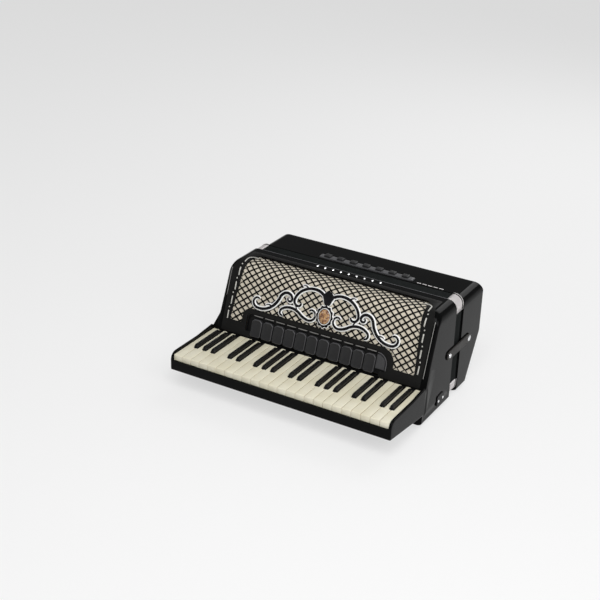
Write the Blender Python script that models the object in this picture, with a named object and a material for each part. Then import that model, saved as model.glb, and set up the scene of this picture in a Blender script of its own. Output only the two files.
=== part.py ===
"""Full-size piano accordion with the bellows closed, lying on its back with the front face up.

Metres. X runs along the keyboard with the low notes at -X, Y runs from the key tips through the
bellows to the bass end, and Z runs from the player's side to the front. All sizes below are read
from the line where the keys go under the grille (Y = 0) and from the back of the casings (Z = 0).
"""
import math

import bmesh
import bpy
from mathutils import Vector

# Fits
FIT = 0.0003
EASE = 0.001
PAST = 0.006

# Keyboard
WHITE_KEYS = 24
BLACK_AFTER = (0, 1, 2, 4, 5)
OCTAVE = 7
KEY_PITCH = 0.020
KEY_GAP = 0.0008
KEY_TOP_Z = 0.078
KEY_THICK = 0.016
KEY_NOSE = 0.0022
WHITE_REACH = 0.128
BLACK_REACH = 0.082
BLACK_RISE = 0.0065
BLACK_BASE = 0.0095
BLACK_CROWN = 0.007
BLACK_NOSE = 0.006
KEY_TAIL = 0.012
AXLE_RADIUS = 0.002
AXLE_WEB = 0.0022
AXLE_SIDES = 8
ARM_WIDTH = 0.005
ARM_THICK = 0.005
ARM_DROP = 0.008
ARM_BEND_Y = 0.045
PALLET_THICK = 0.007
PALLET_HEIGHT = 0.022
PALLET_WIDTH = 0.0148
WHITE_PALLET_DROP = 0.003
BLACK_PALLET_RISE = 0.025

# Key bed
BED_LIP = 0.0036
LIP_GAP = 0.0007
LIP_COVER = 0.004
BED_ROOM = 0.0064
BED_UNDER_FRONT_Z = 0.044
BED_UNDER_REAR_Z = 0.026
CHEEK_THICK = 0.0055
CHEEK_RISE = 0.004
CHEEK_ROUND = 0.016
CHEEK_STEPS = 4
RAIL_HALF = 0.004

# Treble casing
BODY_STEP = 0.006
BODY_LENGTH = WHITE_KEYS * KEY_PITCH - BODY_STEP
BODY_SHIFT = 0.0055
END_WALL = 0.016
EDGE_ROUND = 0.008
EDGE_STEPS = 3
CASE_CORNER = 0.020
CORNER_STEPS = 4
BACK_WALL = 0.006
TOP_WALL = 0.010
FRONT_WALL = 0.006
TREBLE_DEPTH = 0.140
CREST_Z = 0.219
SHOULDER_DEPTH = 0.042
SHOULDER_TOP_Z = 0.0865
SHOULDER_ROOF = 0.003
SHOULDER_RISE = 0.045
SHOULDER_STEPS = 4
SHOULDER_LEVELS = 4
FRONT_WALL_TOP_Z = 0.056
RIM_Y = 0.120
RIM_LEDGE = 0.009
BRACKET_Y = 0.090
BRACKET_Z = 0.026
BRACKET_LONG = 0.032
BRACKET_TALL = 0.022
BRACKET_PROUD = 0.003

# Grille
GRILLE_MARGIN = 0.010
GRILLE_LENGTH = BODY_LENGTH - 2 * GRILLE_MARGIN
GRILLE_CORNER = 0.012
GRILLE_BORDER = 0.020
FOOT_Y = 0.0128
FOOT_RISE = 0.003
SLOPE = math.radians(71.0)
ROLL = 0.032
ROLL_STEPS = 5
GRILLE_THICK = 0.0024
LATTICE_START = 0.004
LATTICE_ROLL = 0.0159
DIAMOND_X = 0.018
DIAMOND_RUN = 0.0149
DIAMOND_OPEN = 0.72
RECESS_LOW_MARGIN = 0.036
RECESS_HIGH_MARGIN = 0.054
RECESS_HEIGHT = 0.0447
CLOTH_THICK = 0.0008

# Register switches
TABS = 11
TAB_PITCH = 0.026
TAB_WIDTH = 0.023
TAB_INSET = 0.0135
TAB_PROUD = 0.0015
BANK_DEEP = 0.012
BANK_FLOOR = 0.007
BANK_POST = 0.003

# Reed chamber
BOARD_Y = 0.0683
BOARD_THICK = 0.008
REED_BASE = 0.006
REED_REACH = 0.056
REED_TOOTH = 0.024
REED_ROOM = 0.012
TREBLE_REED_BLOCKS = 3
BASS_REED_BLOCKS = 2
BASS_REED_REACH = 0.030
BASS_REED_BASE = 0.008

# Bellows
BELLOWS_LENGTH = 0.036
FOLDS = 12
FOLD_DEPTH = 0.026
FOLD_SKIN = 0.004
BELLOWS_INSET = 0.003
FRAME_THICK = 0.004
FOLD_CORNER_STEPS = 2
FRAME_WIDTH = 0.016

# Bass side
BASS_DEPTH = 0.103
BASS_TOP_Z = 0.209
BASS_ROUND = 0.018
BASS_BACK = 0.047
BOARD_TOP_Z = 0.100
BASS_WALL = 0.008
PANEL_MARGIN = 0.010
PANEL_THICK = 0.005
BUTTON_COLUMNS = 20
BUTTON_ROWS = 6
BUTTON_PITCH = 0.0172
BUTTON_ROW_STEP = 0.0145
BUTTON_SKEW = 0.0052
BUTTON_RADIUS = 0.0049
BUTTON_RISE = 0.0058
BUTTON_SIDES = 6
STRAP_MARGIN = 0.025
STRAP_LENGTH = BODY_LENGTH - 2 * STRAP_MARGIN
STRAP_WIDTH = 0.050
STRAP_THICK = 0.004
STRAP_BULGE = 0.032
STRAP_TAB = 0.030
STRAP_Z = 0.138
STRAP_STEPS = 14
AIR_X = -0.090
AIR_Z = 0.174
AIR_RADIUS = 0.007
AIR_PROUD = 0.0055
AIR_STEM = 0.014
WHEEL_RADIUS = 0.013
WHEEL_THICK = 0.008
WHEEL_INSET_Y = 0.024
WHEEL_Z = 0.138
ROUND_SIDES = 16
BASS_TABS = 7
BASS_TAB_PITCH = 0.030
BASS_TAB_WIDTH = 0.015
BASS_TAB_SHIFT = 0.0065
BASS_BANK_INSET = 0.016
BASS_BANK_WIDTH = 0.014
BASS_BANK_BASE = 0.0025
BASS_TAB_RISE = 0.007

# Bellows straps
LOCK_WIDTH = 0.020
LOCK_THICK = 0.003
LOCK_RIVET_INSET = 0.022
LOCK_LAP = 0.034
LOCK_Z = 0.110
LOCK_ROUND_STEPS = 6

# Places worked out from the sizes above
KEY_BOTTOM_Z = KEY_TOP_Z - KEY_THICK
GROOVE = (AXLE_RADIUS + FIT) * math.sqrt(2.0)
AXLE_Y = KEY_TAIL - AXLE_WEB - GROOVE
KEYBOARD_HALF = WHITE_KEYS * KEY_PITCH / 2
CHANNEL_HALF = KEYBOARD_HALF + FIT
BED_HALF = CHANNEL_HALF + CHEEK_THICK
BED_FRONT_Y = -WHITE_REACH - LIP_GAP - BED_LIP
FRONT_Y = KEY_TAIL + FIT
BED_REAR_Y = FRONT_Y - FIT
BODY_LOW_X = BODY_SHIFT - BODY_LENGTH / 2
BODY_HIGH_X = BODY_SHIFT + BODY_LENGTH / 2
GRILLE_LOW_X = BODY_SHIFT - GRILLE_LENGTH / 2
GRILLE_HIGH_X = BODY_SHIFT + GRILLE_LENGTH / 2
FOOT_Z = KEY_TOP_Z + FOOT_RISE
SEAT = GRILLE_THICK + FIT
SEAT_LEDGE = END_WALL - GRILLE_MARGIN
PALLET_FRONT_Y = BOARD_Y - FIT - PALLET_THICK
PALLET_HALF = BODY_LENGTH / 2 - END_WALL
BELLOWS_Y = TREBLE_DEPTH + FIT
BELLOWS_CORNER = CASE_CORNER - BELLOWS_INSET
BASS_Y = TREBLE_DEPTH + BELLOWS_LENGTH
BASS_END_Y = BASS_Y + BASS_DEPTH
REED_HALF = BODY_LENGTH / 2 - BELLOWS_INSET - FOLD_DEPTH - FOLD_SKIN - REED_ROOM
STRAP_SEAT_Y = BASS_END_Y + FIT
REACH_Y = STRAP_SEAT_Y + STRAP_BULGE + STRAP_THICK
CENTRE_Y = (BED_FRONT_Y + REACH_Y) / 2
BASS_ORIGIN = (BODY_SHIFT, BASS_Y, 0.0)


def clear_scene():
    """Start from an empty scene."""
    for obj in list(bpy.data.objects):
        bpy.data.objects.remove(obj, do_unlink=True)


def finish(name, colour, roughness, metallic=0.0):
    """A plain surface finish."""
    material = bpy.data.materials.new(name)
    material.use_nodes = True
    shader = material.node_tree.nodes["Principled BSDF"]
    shader.inputs["Base Color"].default_value = (*colour, 1.0)
    shader.inputs["Roughness"].default_value = roughness
    shader.inputs["Metallic"].default_value = metallic
    return material


def station(name, place, parent=None):
    """An empty that carries a group of pieces, with its place in the instrument's frame kept on it."""
    empty = bpy.data.objects.new(name, None)
    bpy.context.collection.objects.link(empty)
    empty["place"] = tuple(place)
    if parent:
        empty.parent = parent
        empty.location = Vector(place) - Vector(parent["place"])
    return empty


def piece(name, shape, material, parent, origin=None):
    """One closed body from (points, faces) in the instrument's frame, with its origin at its seat or axis."""
    points, faces = shape
    origin = Vector(parent["place"] if origin is None else origin)
    mesh = bpy.data.meshes.new(name)
    mesh.from_pydata([Vector(point) - origin for point in points], [], faces)
    work = bmesh.new()
    work.from_mesh(mesh)
    bmesh.ops.recalc_face_normals(work, faces=work.faces)
    work.to_mesh(mesh)
    work.free()
    mesh.materials.append(material)
    obj = bpy.data.objects.new(name, mesh)
    bpy.context.collection.objects.link(obj)
    obj.parent = parent
    obj.location = origin - Vector(parent["place"])
    return obj


def round_off(obj, angle=40.0):
    """Shade a round piece smooth, with its hard edges kept."""
    obj.data.shade_smooth()
    obj.data.set_sharp_from_angle(angle=math.radians(angle))


def soften(obj, origin, chosen):
    """Round those edges of a body whose two ends, in the instrument's frame, pass a test."""
    mesh = obj.data
    weights = mesh.attributes.new("bevel_weight_edge", "FLOAT", "EDGE")
    for edge in mesh.edges:
        a, b = (mesh.vertices[i].co + Vector(origin) for i in edge.vertices)
        weights.data[edge.index].value = 1.0 if chosen(a, b) else 0.0
    step = obj.modifiers.new("rounded_edges", "BEVEL")
    step.limit_method = "WEIGHT"
    step.width = EDGE_ROUND
    step.segments = EDGE_STEPS


def end_edge(*open_sides):
    """A test for the edges round a casing's two ends, but not where the casing is open at a given Y."""
    def chosen(a, b):
        along_end = abs(a.x - b.x) < FIT
        return along_end and not any(abs(a.y - y) < FIT and abs(b.y - y) < FIT for y in open_sides)
    return chosen


def combine(obj, other, operation):
    """Cut one body with another, or join the two; the second body stays as a hidden guide."""
    other.hide_render = True
    other.display_type = "WIRE"
    step = obj.modifiers.new(other.name, "BOOLEAN")
    step.operation = operation
    step.solver = "EXACT"
    step.object = other


def prism(outline, start, end):
    """An outline in (Y, Z) carried straight along X from start to end."""
    count = len(outline)
    points = [(x, y, z) for x in (start, end) for y, z in outline]
    sides = [(i, (i + 1) % count, count + (i + 1) % count, count + i) for i in range(count)]
    return points, [tuple(range(count)), tuple(range(count, 2 * count)), *sides]


def slab(outline, low, high):
    """An outline in (X, Y) carried straight up from low to high."""
    points, faces = prism(outline, low, high)
    return [(x, y, z) for z, x, y in points], faces


def loft(rings, closed=False):
    """A skin over rings of equally many points: capped at both ends, or run round into itself."""
    size = len(rings[0])
    count = len(rings)
    points = [point for ring in rings for point in ring]
    faces = [] if closed else [tuple(range(size)), tuple(range((count - 1) * size, count * size))]
    for k in range(count if closed else count - 1):
        here = k * size
        there = ((k + 1) % count) * size
        for i in range(size):
            j = (i + 1) % size
            faces.append((here + i, here + j, there + j, there + i))
    return points, faces


def leaf(front, back, faces):
    """A thin sheet from matching front and back points: both skins, and a wall along every open edge."""
    count = len(front)
    edges = {}
    for face in faces:
        for i, a in enumerate(face):
            b = face[(i + 1) % len(face)]
            edges[frozenset((a, b))] = None if frozenset((a, b)) in edges else (a, b)
    walls = [(e[1], e[0], count + e[0], count + e[1]) for e in edges.values() if e]
    turned = [tuple(count + i for i in reversed(face)) for face in faces]
    return list(front) + list(back), list(faces) + turned + walls


def plank(outline, start, end):
    """An outline in (X, Z) carried straight along Y from start to end."""
    points, faces = prism(outline, start, end)
    return [(x, y, z) for y, x, z in points], faces


def disc(radius, sides, centre, axis, low, high):
    """A faceted round bar along X or Y between low and high."""
    rings = []
    for along in (low, high):
        ring = []
        for k in range(sides):
            turn = 2.0 * math.pi * (k + 0.5) / sides
            a, b = radius * math.cos(turn), radius * math.sin(turn)
            if axis == "X":
                ring.append((along, centre[1] + a, centre[2] + b))
            else:
                ring.append((centre[0] + a, along, centre[2] + b))
        rings.append(ring)
    return loft(rings)


def upright(y, left, right, low, high):
    """A rectangle square to Y."""
    return [(left, y, low), (right, y, low), (right, y, high), (left, y, high)]


def inset(outline, distance):
    """The same convex outline with every edge moved in by a distance."""
    moved = []
    count = len(outline)
    for i in range(count):
        before, here, after = (Vector(outline[(i + k) % count]) for k in (-1, 0, 1))
        a, b = (here - before).normalized(), (after - here).normalized()
        normal_a, normal_b = Vector((-a.y, a.x)), Vector((-b.y, b.x))
        bisector = (normal_a + normal_b).normalized()
        moved.append(tuple(here + bisector * (distance / bisector.dot(normal_a))))
    return moved


def outside_corner(curve, way):
    """(X, Z) outline of all that lies outside a corner curve, which runs from a side (way -1 or 1) to the top."""
    ends = []
    for end, neighbour in ((curve[0], curve[1]), (curve[-1], curve[-2])):
        end, neighbour = Vector(end), Vector(neighbour)
        ends.append(tuple(end + (end - neighbour).normalized() * PAST))
    outer = (curve[0][0] + way * 2 * PAST, curve[-1][1] + 2 * PAST)
    return [ends[0], *curve[1:-1], ends[1], outer]


def round_corners(casing, top, start, end, material, parent):
    """Round the two top corners of a casing, seen along Y, between two places along Y."""
    for side, face, way in (("low", BODY_LOW_X, -1), ("high", BODY_HIGH_X, 1)):
        curve = []
        for k in range(CORNER_STEPS + 1):
            turn = math.pi / 2 * k / CORNER_STEPS
            across, up = 1.0 - math.cos(turn), 1.0 - math.sin(turn)
            curve.append((face - way * CASE_CORNER * across, top - CASE_CORNER * up))
        block = plank(outside_corner(curve, way), start - PAST, end + PAST)
        combine(casing, piece(f"{casing.name}_corner_{side}", block, material, parent), "DIFFERENCE")


# Grille profile
SLOPE_RISE = CREST_Z - ROLL * (1.0 - math.cos(SLOPE)) - FOOT_Z
SLOPE_RUN = SLOPE_RISE / math.sin(SLOPE)
ROLL_Y = FOOT_Y + SLOPE_RUN * math.cos(SLOPE) + ROLL * math.sin(SLOPE)
ROLL_END = SLOPE_RUN + ROLL * SLOPE
RIM_RUN = ROLL_END + RIM_Y - ROLL_Y

# Lattice counts: whole diamonds that fit the sizes above, on a grid of half diamonds
LATTICE_COLUMNS = 2 * int((GRILLE_LENGTH - 2 * GRILLE_BORDER) / DIAMOND_X + FIT)
SLOPE_ROWS = 2 * round((SLOPE_RUN - LATTICE_START) / DIAMOND_RUN)
ROLL_ROWS = 2 * round(LATTICE_ROLL / (ROLL_END - SLOPE_RUN) * ROLL_STEPS / 2)
RECESS_LEFT = 2 * round(RECESS_LOW_MARGIN / DIAMOND_X)
RECESS_RIGHT = LATTICE_COLUMNS - 2 * round(RECESS_HIGH_MARGIN / DIAMOND_X)
RECESS_ROWS = 2 * round(RECESS_HEIGHT / DIAMOND_RUN)


def grille_point(run, sink=0.0):
    """(Y, Z) at a run up the grille's face, a slope, a roll, then flat; sink goes in from the face."""
    if run <= SLOPE_RUN:
        turn, y, z = SLOPE, FOOT_Y + run * math.cos(SLOPE), FOOT_Z + run * math.sin(SLOPE)
    elif run <= ROLL_END:
        turn = SLOPE - (run - SLOPE_RUN) / ROLL
        y, z = ROLL_Y - ROLL * math.sin(turn), CREST_Z - ROLL + ROLL * math.cos(turn)
    else:
        turn, y, z = 0.0, ROLL_Y + run - ROLL_END, CREST_Z
    return y + sink * math.sin(turn), z - sink * math.cos(turn)


def grille_height(y, sink):
    """Height of the sunk grille face above a given Y, found by halving."""
    low, high = 0.0, RIM_RUN
    for _ in range(40):
        middle = (low + high) / 2
        if grille_point(middle, sink)[0] < y:
            low = middle
        else:
            high = middle
    return grille_point(low, sink)[1]


def grille_edge(way, run):
    """X of the grille's low (-1) or high (1) edge at a run: straight, then drawn in round the top corner."""
    height = max(0.0, 1.0 + (grille_point(run)[1] - CREST_Z) / CASE_CORNER)
    drawn = GRILLE_CORNER * (1.0 - math.sqrt(max(0.0, 1.0 - height * height)))
    return BODY_SHIFT + way * (GRILLE_LENGTH / 2 - drawn)


def roll_runs():
    """Runs at which the rolled top of the grille needs a point."""
    return [SLOPE_RUN + (ROLL_END - SLOPE_RUN) * k / ROLL_STEPS for k in range(ROLL_STEPS + 1)]


def lattice_run(row):
    """Run of a lattice row: evenly up the slope, then at the roll's own points; rows may be fractions."""
    if row <= SLOPE_ROWS:
        return LATTICE_START + (SLOPE_RUN - LATTICE_START) * row / SLOPE_ROWS
    return SLOPE_RUN + (ROLL_END - SLOPE_RUN) * (row - SLOPE_ROWS) / ROLL_STEPS


def has_black_after(white):
    """Whether a black key stands between this white key and the next."""
    return 0 <= white < WHITE_KEYS - 1 and white % OCTAVE in BLACK_AFTER


def white_x(white):
    """Middle of a white key along the keyboard."""
    return (white + 0.5) * KEY_PITCH - KEYBOARD_HALF


def pallet_x(x):
    """Middle of the pallet that a key at x works: the pallets share out the inside of the casing."""
    return BODY_SHIFT + x * PALLET_HALF / KEYBOARD_HALF


def key_action(x, left, right, crown, pallet_z):
    """Rings of a key from behind its playing part: groove over the axle, tail, cranked arm and pallet."""
    arm_z = KEY_TOP_Z - ARM_DROP

    def body_ring(y, low):
        return upright(y, left, right, low, crown)

    def arm_ring(y, z, thick):
        share = (y - KEY_TAIL) / (PALLET_FRONT_Y - KEY_TAIL)
        middle = x + (pallet_x(x) - x) * share
        return upright(y, middle - ARM_WIDTH / 2, middle + ARM_WIDTH / 2, z - thick / 2, z + thick / 2)

    def pallet_ring(y):
        half, tall = PALLET_WIDTH / 2, PALLET_HEIGHT / 2
        middle = pallet_x(x)
        return upright(y, middle - half, middle + half, pallet_z - tall, pallet_z + tall)

    return [
        body_ring(AXLE_Y - GROOVE, KEY_BOTTOM_Z),
        body_ring(AXLE_Y, KEY_BOTTOM_Z + GROOVE),
        body_ring(AXLE_Y + GROOVE, KEY_BOTTOM_Z),
        body_ring(KEY_TAIL, KEY_BOTTOM_Z),
        arm_ring(KEY_TAIL + EASE, arm_z, ARM_THICK),
        arm_ring(ARM_BEND_Y, arm_z, ARM_THICK),
        arm_ring(PALLET_FRONT_Y - EASE, pallet_z, ARM_THICK),
        pallet_ring(PALLET_FRONT_Y),
        pallet_ring(BOARD_Y - FIT),
    ]


def make_white_key(white, material, parent):
    """A white key: full-width head, stem cut back beside its black neighbours, arm and pallet in one."""
    x = white_x(white)
    half = (KEY_PITCH - KEY_GAP) / 2
    notch = KEY_PITCH / 2 - BLACK_BASE / 2 - KEY_GAP
    left = x - (notch if has_black_after(white - 1) else half)
    right = x + (notch if has_black_after(white) else half)
    neck = -BLACK_REACH - KEY_GAP
    rings = [
        upright(-WHITE_REACH, x - half, x + half, KEY_BOTTOM_Z, KEY_TOP_Z - KEY_NOSE),
        upright(-WHITE_REACH + KEY_NOSE, x - half, x + half, KEY_BOTTOM_Z, KEY_TOP_Z),
        upright(neck - EASE, x - half, x + half, KEY_BOTTOM_Z, KEY_TOP_Z),
        upright(neck, left, right, KEY_BOTTOM_Z, KEY_TOP_Z),
        *key_action(x, left, right, KEY_TOP_Z, KEY_TOP_Z - WHITE_PALLET_DROP),
    ]
    piece(f"white_key_{white + 1:02d}", loft(rings), material, parent, (x, AXLE_Y, KEY_BOTTOM_Z))


def make_black_key(number, white, material, parent):
    """A black key: raised tapered finger piece with a sloped nose, then the same arm and pallet."""
    x = white_x(white) + KEY_PITCH / 2
    base, crown = BLACK_BASE / 2, BLACK_CROWN / 2
    high = KEY_TOP_Z + BLACK_RISE

    def finger(y, top):
        sides = ((-base, KEY_BOTTOM_Z), (base, KEY_BOTTOM_Z), (crown, top), (-crown, top))
        return [(x + across, y, z) for across, z in sides]

    rings = [
        finger(-BLACK_REACH, KEY_TOP_Z),
        finger(-BLACK_REACH + BLACK_NOSE, high),
        finger(-EASE, high),
        finger(0.0, KEY_TOP_Z),
        *key_action(x, x - crown, x + crown, KEY_TOP_Z, KEY_TOP_Z + BLACK_PALLET_RISE),
    ]
    piece(f"black_key_{number:02d}", loft(rings), material, parent, (x, AXLE_Y, KEY_BOTTOM_Z))


def make_keyboard(parent):
    """Key bed, axle and every key."""
    shell = finish("bed_celluloid", (0.012, 0.012, 0.014), 0.12)
    steel = finish("axle_steel", (0.55, 0.55, 0.56), 0.3, 1.0)
    ivory = finish("white_key", (0.86, 0.83, 0.72), 0.22)
    ebony = finish("black_key", (0.012, 0.012, 0.013), 0.25)
    cheek_z = KEY_TOP_Z + CHEEK_RISE
    bed_floor = KEY_BOTTOM_Z - BED_ROOM
    rail_top = KEY_BOTTOM_Z - AXLE_RADIUS - FIT
    nose = []
    for k in range(CHEEK_STEPS + 1):
        turn = math.pi / 2 * k / CHEEK_STEPS
        nose.append((
            BED_FRONT_Y + CHEEK_ROUND * (1.0 - math.sin(turn)),
            cheek_z - CHEEK_ROUND * (1.0 - math.cos(turn)),
        ))
    outline = [
        (BED_FRONT_Y, BED_UNDER_FRONT_Z),
        (BED_REAR_Y, BED_UNDER_REAR_Z),
        (BED_REAR_Y, SHOULDER_TOP_Z),
        (-SHOULDER_DEPTH, cheek_z),
        *nose,
    ]
    bed = piece("keyboard_bed", prism(outline, -BED_HALF, BED_HALF), shell, parent)
    lip_in = BED_FRONT_Y + BED_LIP
    over = SHOULDER_TOP_Z + CHEEK_ROUND
    channel = [
        (BED_FRONT_Y - BED_LIP, KEY_BOTTOM_Z + LIP_COVER),
        (lip_in, KEY_BOTTOM_Z + LIP_COVER),
        (lip_in, bed_floor),
        (AXLE_Y - RAIL_HALF, bed_floor),
        (AXLE_Y - RAIL_HALF, rail_top),
        (BED_REAR_Y + BED_LIP, rail_top),
        (BED_REAR_Y + BED_LIP, over),
        (BED_FRONT_Y - BED_LIP, over),
    ]
    cutter = piece("key_channel", prism(channel, -CHANNEL_HALF, CHANNEL_HALF), shell, parent)
    combine(bed, cutter, "DIFFERENCE")
    place = (0.0, AXLE_Y, KEY_BOTTOM_Z)
    rod = disc(AXLE_RADIUS, AXLE_SIDES, place, "X", FIT - CHANNEL_HALF, CHANNEL_HALF - FIT)
    round_off(piece("key_axle", rod, steel, parent, place), 60.0)
    for white in range(WHITE_KEYS):
        make_white_key(white, ivory, parent)
    blacks = [white for white in range(WHITE_KEYS) if has_black_after(white)]
    for number, white in enumerate(blacks, 1):
        make_black_key(number, white, ebony, parent)


def shoulder_ring(z, spread):
    """Plan of the casing's front corners at one height, flaring by a share of the way to the key cheeks."""
    front = FRONT_Y + max(0.0, (z - FOOT_Z) / math.tan(SLOPE) + EASE)
    shares = [k / SHOULDER_STEPS for k in range(SHOULDER_STEPS + 1)]

    def flank(wide, narrow):
        reach = narrow + (wide - narrow) * spread
        eased = [share * share * (3.0 - 2.0 * share) for share in shares]
        places = [front + (PALLET_FRONT_Y - front) * share for share in shares]
        return [(reach + (narrow - reach) * ease, y, z) for ease, y in zip(eased, places)]

    low = flank(-BED_HALF, BODY_LOW_X + EASE)
    high = flank(BED_HALF, BODY_HIGH_X - EASE)
    return low + high[::-1]


def follow_grille_corners(guide, moved, low_z, material, parent):
    """Keep a cutting guide inside the grille's drawn-in top corners, moved in from its edge by a distance."""
    for side, way in (("low", -1), ("high", 1)):
        curve = [(BODY_SHIFT + way * (GRILLE_LENGTH / 2 - moved), low_z)]
        for run in roll_runs():
            z = grille_point(run)[1]
            if z > low_z + FIT:
                curve.append((grille_edge(way, run) - way * moved, z))
        block = plank(outside_corner(curve, way), FRONT_Y - 2 * PAST, RIM_Y + PAST)
        combine(guide, piece(f"{guide.name}_corner_{side}", block, material, parent), "DIFFERENCE")


def make_treble_casing(parent):
    """Treble casing: a round-edged box open to the bellows, seated for the grille, flared at the keys."""
    celluloid = finish("treble_celluloid", (0.012, 0.012, 0.014), 0.1)
    slope = [grille_point(run) for run in (0.0, *roll_runs())]
    foot_z = FOOT_Z - EASE
    outline = [
        (FRONT_Y, 0.0),
        (TREBLE_DEPTH, 0.0),
        (TREBLE_DEPTH, CREST_Z),
        *slope[::-1],
        (FRONT_Y, foot_z),
    ]
    casing = piece("treble_casing", prism(outline, BODY_LOW_X, BODY_HIGH_X), celluloid, parent)
    soften(casing, parent["place"], end_edge(TREBLE_DEPTH, FRONT_Y))
    round_corners(casing, CREST_Z, FRONT_Y, TREBLE_DEPTH, celluloid, parent)
    levels = [shoulder_ring(BED_UNDER_REAR_Z, 1.0)]
    for k in range(SHOULDER_LEVELS + 1):
        share = k / SHOULDER_LEVELS
        levels.append(shoulder_ring(foot_z + SHOULDER_RISE * share, (1.0 - share) ** 2))
    combine(casing, piece("shoulder_flare", loft(levels), celluloid, parent), "UNION")
    over = CREST_Z + PAST
    seat = [grille_point(run, SEAT) for run in (0.0, *roll_runs())]
    pocket = [
        (FRONT_Y - PAST, seat[0][1] - EASE),
        *seat,
        (RIM_Y + FIT, CREST_Z - SEAT),
        (RIM_Y + FIT, over),
        (FRONT_Y - PAST, over),
    ]
    cutter = prism(pocket, GRILLE_LOW_X - FIT, GRILLE_HIGH_X + FIT)
    seat_cut = piece("grille_seat", cutter, celluloid, parent)
    follow_grille_corners(seat_cut, -FIT, CREST_Z - CASE_CORNER, celluloid, parent)
    combine(casing, seat_cut, "DIFFERENCE")
    ledge = RIM_Y - RIM_LEDGE
    hollow = [
        (FRONT_Y + FRONT_WALL, BACK_WALL),
        (TREBLE_DEPTH + PAST, BACK_WALL),
        (TREBLE_DEPTH + PAST, CREST_Z - TOP_WALL),
        (ledge, CREST_Z - TOP_WALL),
        (ledge, over),
        (FRONT_Y - PAST, over),
        (FRONT_Y - PAST, FRONT_WALL_TOP_Z),
        (FRONT_Y + FRONT_WALL, FRONT_WALL_TOP_Z),
    ]
    inner_low, inner_high = BODY_LOW_X + END_WALL, BODY_HIGH_X - END_WALL
    cavity = piece("treble_cavity", prism(hollow, inner_low, inner_high), celluloid, parent)
    follow_grille_corners(cavity, SEAT_LEDGE, CREST_Z - TOP_WALL, celluloid, parent)
    combine(casing, cavity, "DIFFERENCE")
    passage = [
        (-CHANNEL_HALF, FRONT_Y - PAST),
        (CHANNEL_HALF, FRONT_Y - PAST),
        (inner_high + FIT, PALLET_FRONT_Y),
        (inner_low - FIT, PALLET_FRONT_Y),
    ]
    arms = slab(passage, FRONT_WALL_TOP_Z, foot_z - SHOULDER_ROOF)
    combine(casing, piece("arm_passage", arms, celluloid, parent), "DIFFERENCE")
    half_y, half_z = BRACKET_LONG / 2, BRACKET_TALL / 2
    pad = [(BRACKET_Y + y * half_y, BRACKET_Z + z * half_z) for y, z in ((-1, -1), (1, -1), (1, 1), (-1, 1))]
    for name, face, way in (("low", BODY_LOW_X, -1.0), ("high", BODY_HIGH_X, 1.0)):
        block = prism(pad, face - way * END_WALL / 2, face + way * BRACKET_PROUD)
        combine(casing, piece(f"bracket_pad_{name}", block, celluloid, parent), "UNION")


def lattice_faces(columns, rows, gone, add):
    """Faces of a diamond lattice on a half-pitch grid: corners at even places, a hole round each odd one."""
    faces = []

    def inside(a, b):
        return 0 <= a < columns and 0 <= b < rows and not gone(a, b)

    for a in range(columns + 1):
        for b in range(rows + 1):
            if (a + b) % 2 == 0:
                continue
            squares = [inside(a, b), inside(a - 1, b), inside(a - 1, b - 1), inside(a, b - 1)]
            corners = [(a + 1, b), (a, b + 1), (a - 1, b), (a, b - 1)]
            if not any(squares):
                continue
            if all(squares):
                outer = [add(u, s) for u, s in corners]
                inner = [add(a + (u - a) * DIAMOND_OPEN, b + (s - b) * DIAMOND_OPEN) for u, s in corners]
                for k in range(4):
                    j = (k + 1) % 4
                    faces.append((outer[k], outer[j], inner[j], inner[k]))
                continue
            if squares[0] != squares[1]:
                for k in range(4):
                    if squares[k]:
                        faces.append((add(a, b), add(*corners[k]), add(*corners[(k + 1) % 4])))
                continue
            used = [corners[k] for k in range(4) if squares[k] or squares[k - 1]]
            faces.append(tuple(add(u, s) for u, s in used))
    return faces


def fan(near, left, right):
    """Triangles from a row of points to the two ends of the next row."""
    middle = len(near) // 2
    faces = [(a, b, left) for a, b in zip(near[:middle], near[1:middle + 1])]
    faces += [(a, b, right) for a, b in zip(near[middle:], near[middle + 1:])]
    return faces + [(near[middle], right, left)]


def make_grille(parent):
    """Grille cover: one curved sheet with a diamond lattice, a plain border and the register recess."""
    lacquer = finish("grille_lacquer", (0.03, 0.03, 0.033), 0.35, 0.6)
    half_x = DIAMOND_X / 2
    lattice_left = BODY_SHIFT - LATTICE_COLUMNS * half_x / 2
    row_count = SLOPE_ROWS + ROLL_ROWS
    places, order = [], {}

    def key(u, s):
        return round(u * 1000), round(s * 1000)

    def put(tag, x, run):
        if tag not in order:
            order[tag] = len(places)
            places.append((x, run))
        return order[tag]

    def add(u, s):
        return put(key(u, s), lattice_left + u * half_x, lattice_run(s))

    def gone(a, b):
        return RECESS_LEFT <= a < RECESS_RIGHT and b < RECESS_ROWS

    faces = lattice_faces(LATTICE_COLUMNS, row_count, gone, add)
    tail = [*roll_runs()[ROLL_ROWS + 1:], RIM_RUN]
    columns = list(range(0, LATTICE_COLUMNS + 1, 2))
    rows = list(range(row_count + 1))

    def corner(way, run):
        return put(("edge", way, run), grille_edge(way, run), run)

    def side(way, s):
        return corner(way, lattice_run(s))

    for way, u in ((-1, 0), (1, LATTICE_COLUMNS)):
        for low, high in zip(rows, rows[1:]):
            faces.append((side(way, low), add(u, low), add(u, high), side(way, high)))
    bottom = [side(-1, 0), *(add(u, 0) for u in columns), side(1, 0)]
    faces += fan(bottom, corner(-1, 0.0), corner(1, 0.0))
    near = [side(-1, row_count), *(add(u, row_count) for u in columns), side(1, row_count)]
    for run in tail:
        ends = [corner(-1, run), corner(1, run)]
        faces += fan(near, *ends)
        near = ends

    front = [(x, *grille_point(run)) for x, run in places]
    back = [(x, *grille_point(run, GRILLE_THICK)) for x, run in places]
    round_off(piece("treble_grille", leaf(front, back, same_way(places, faces)), lacquer, parent))


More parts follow.
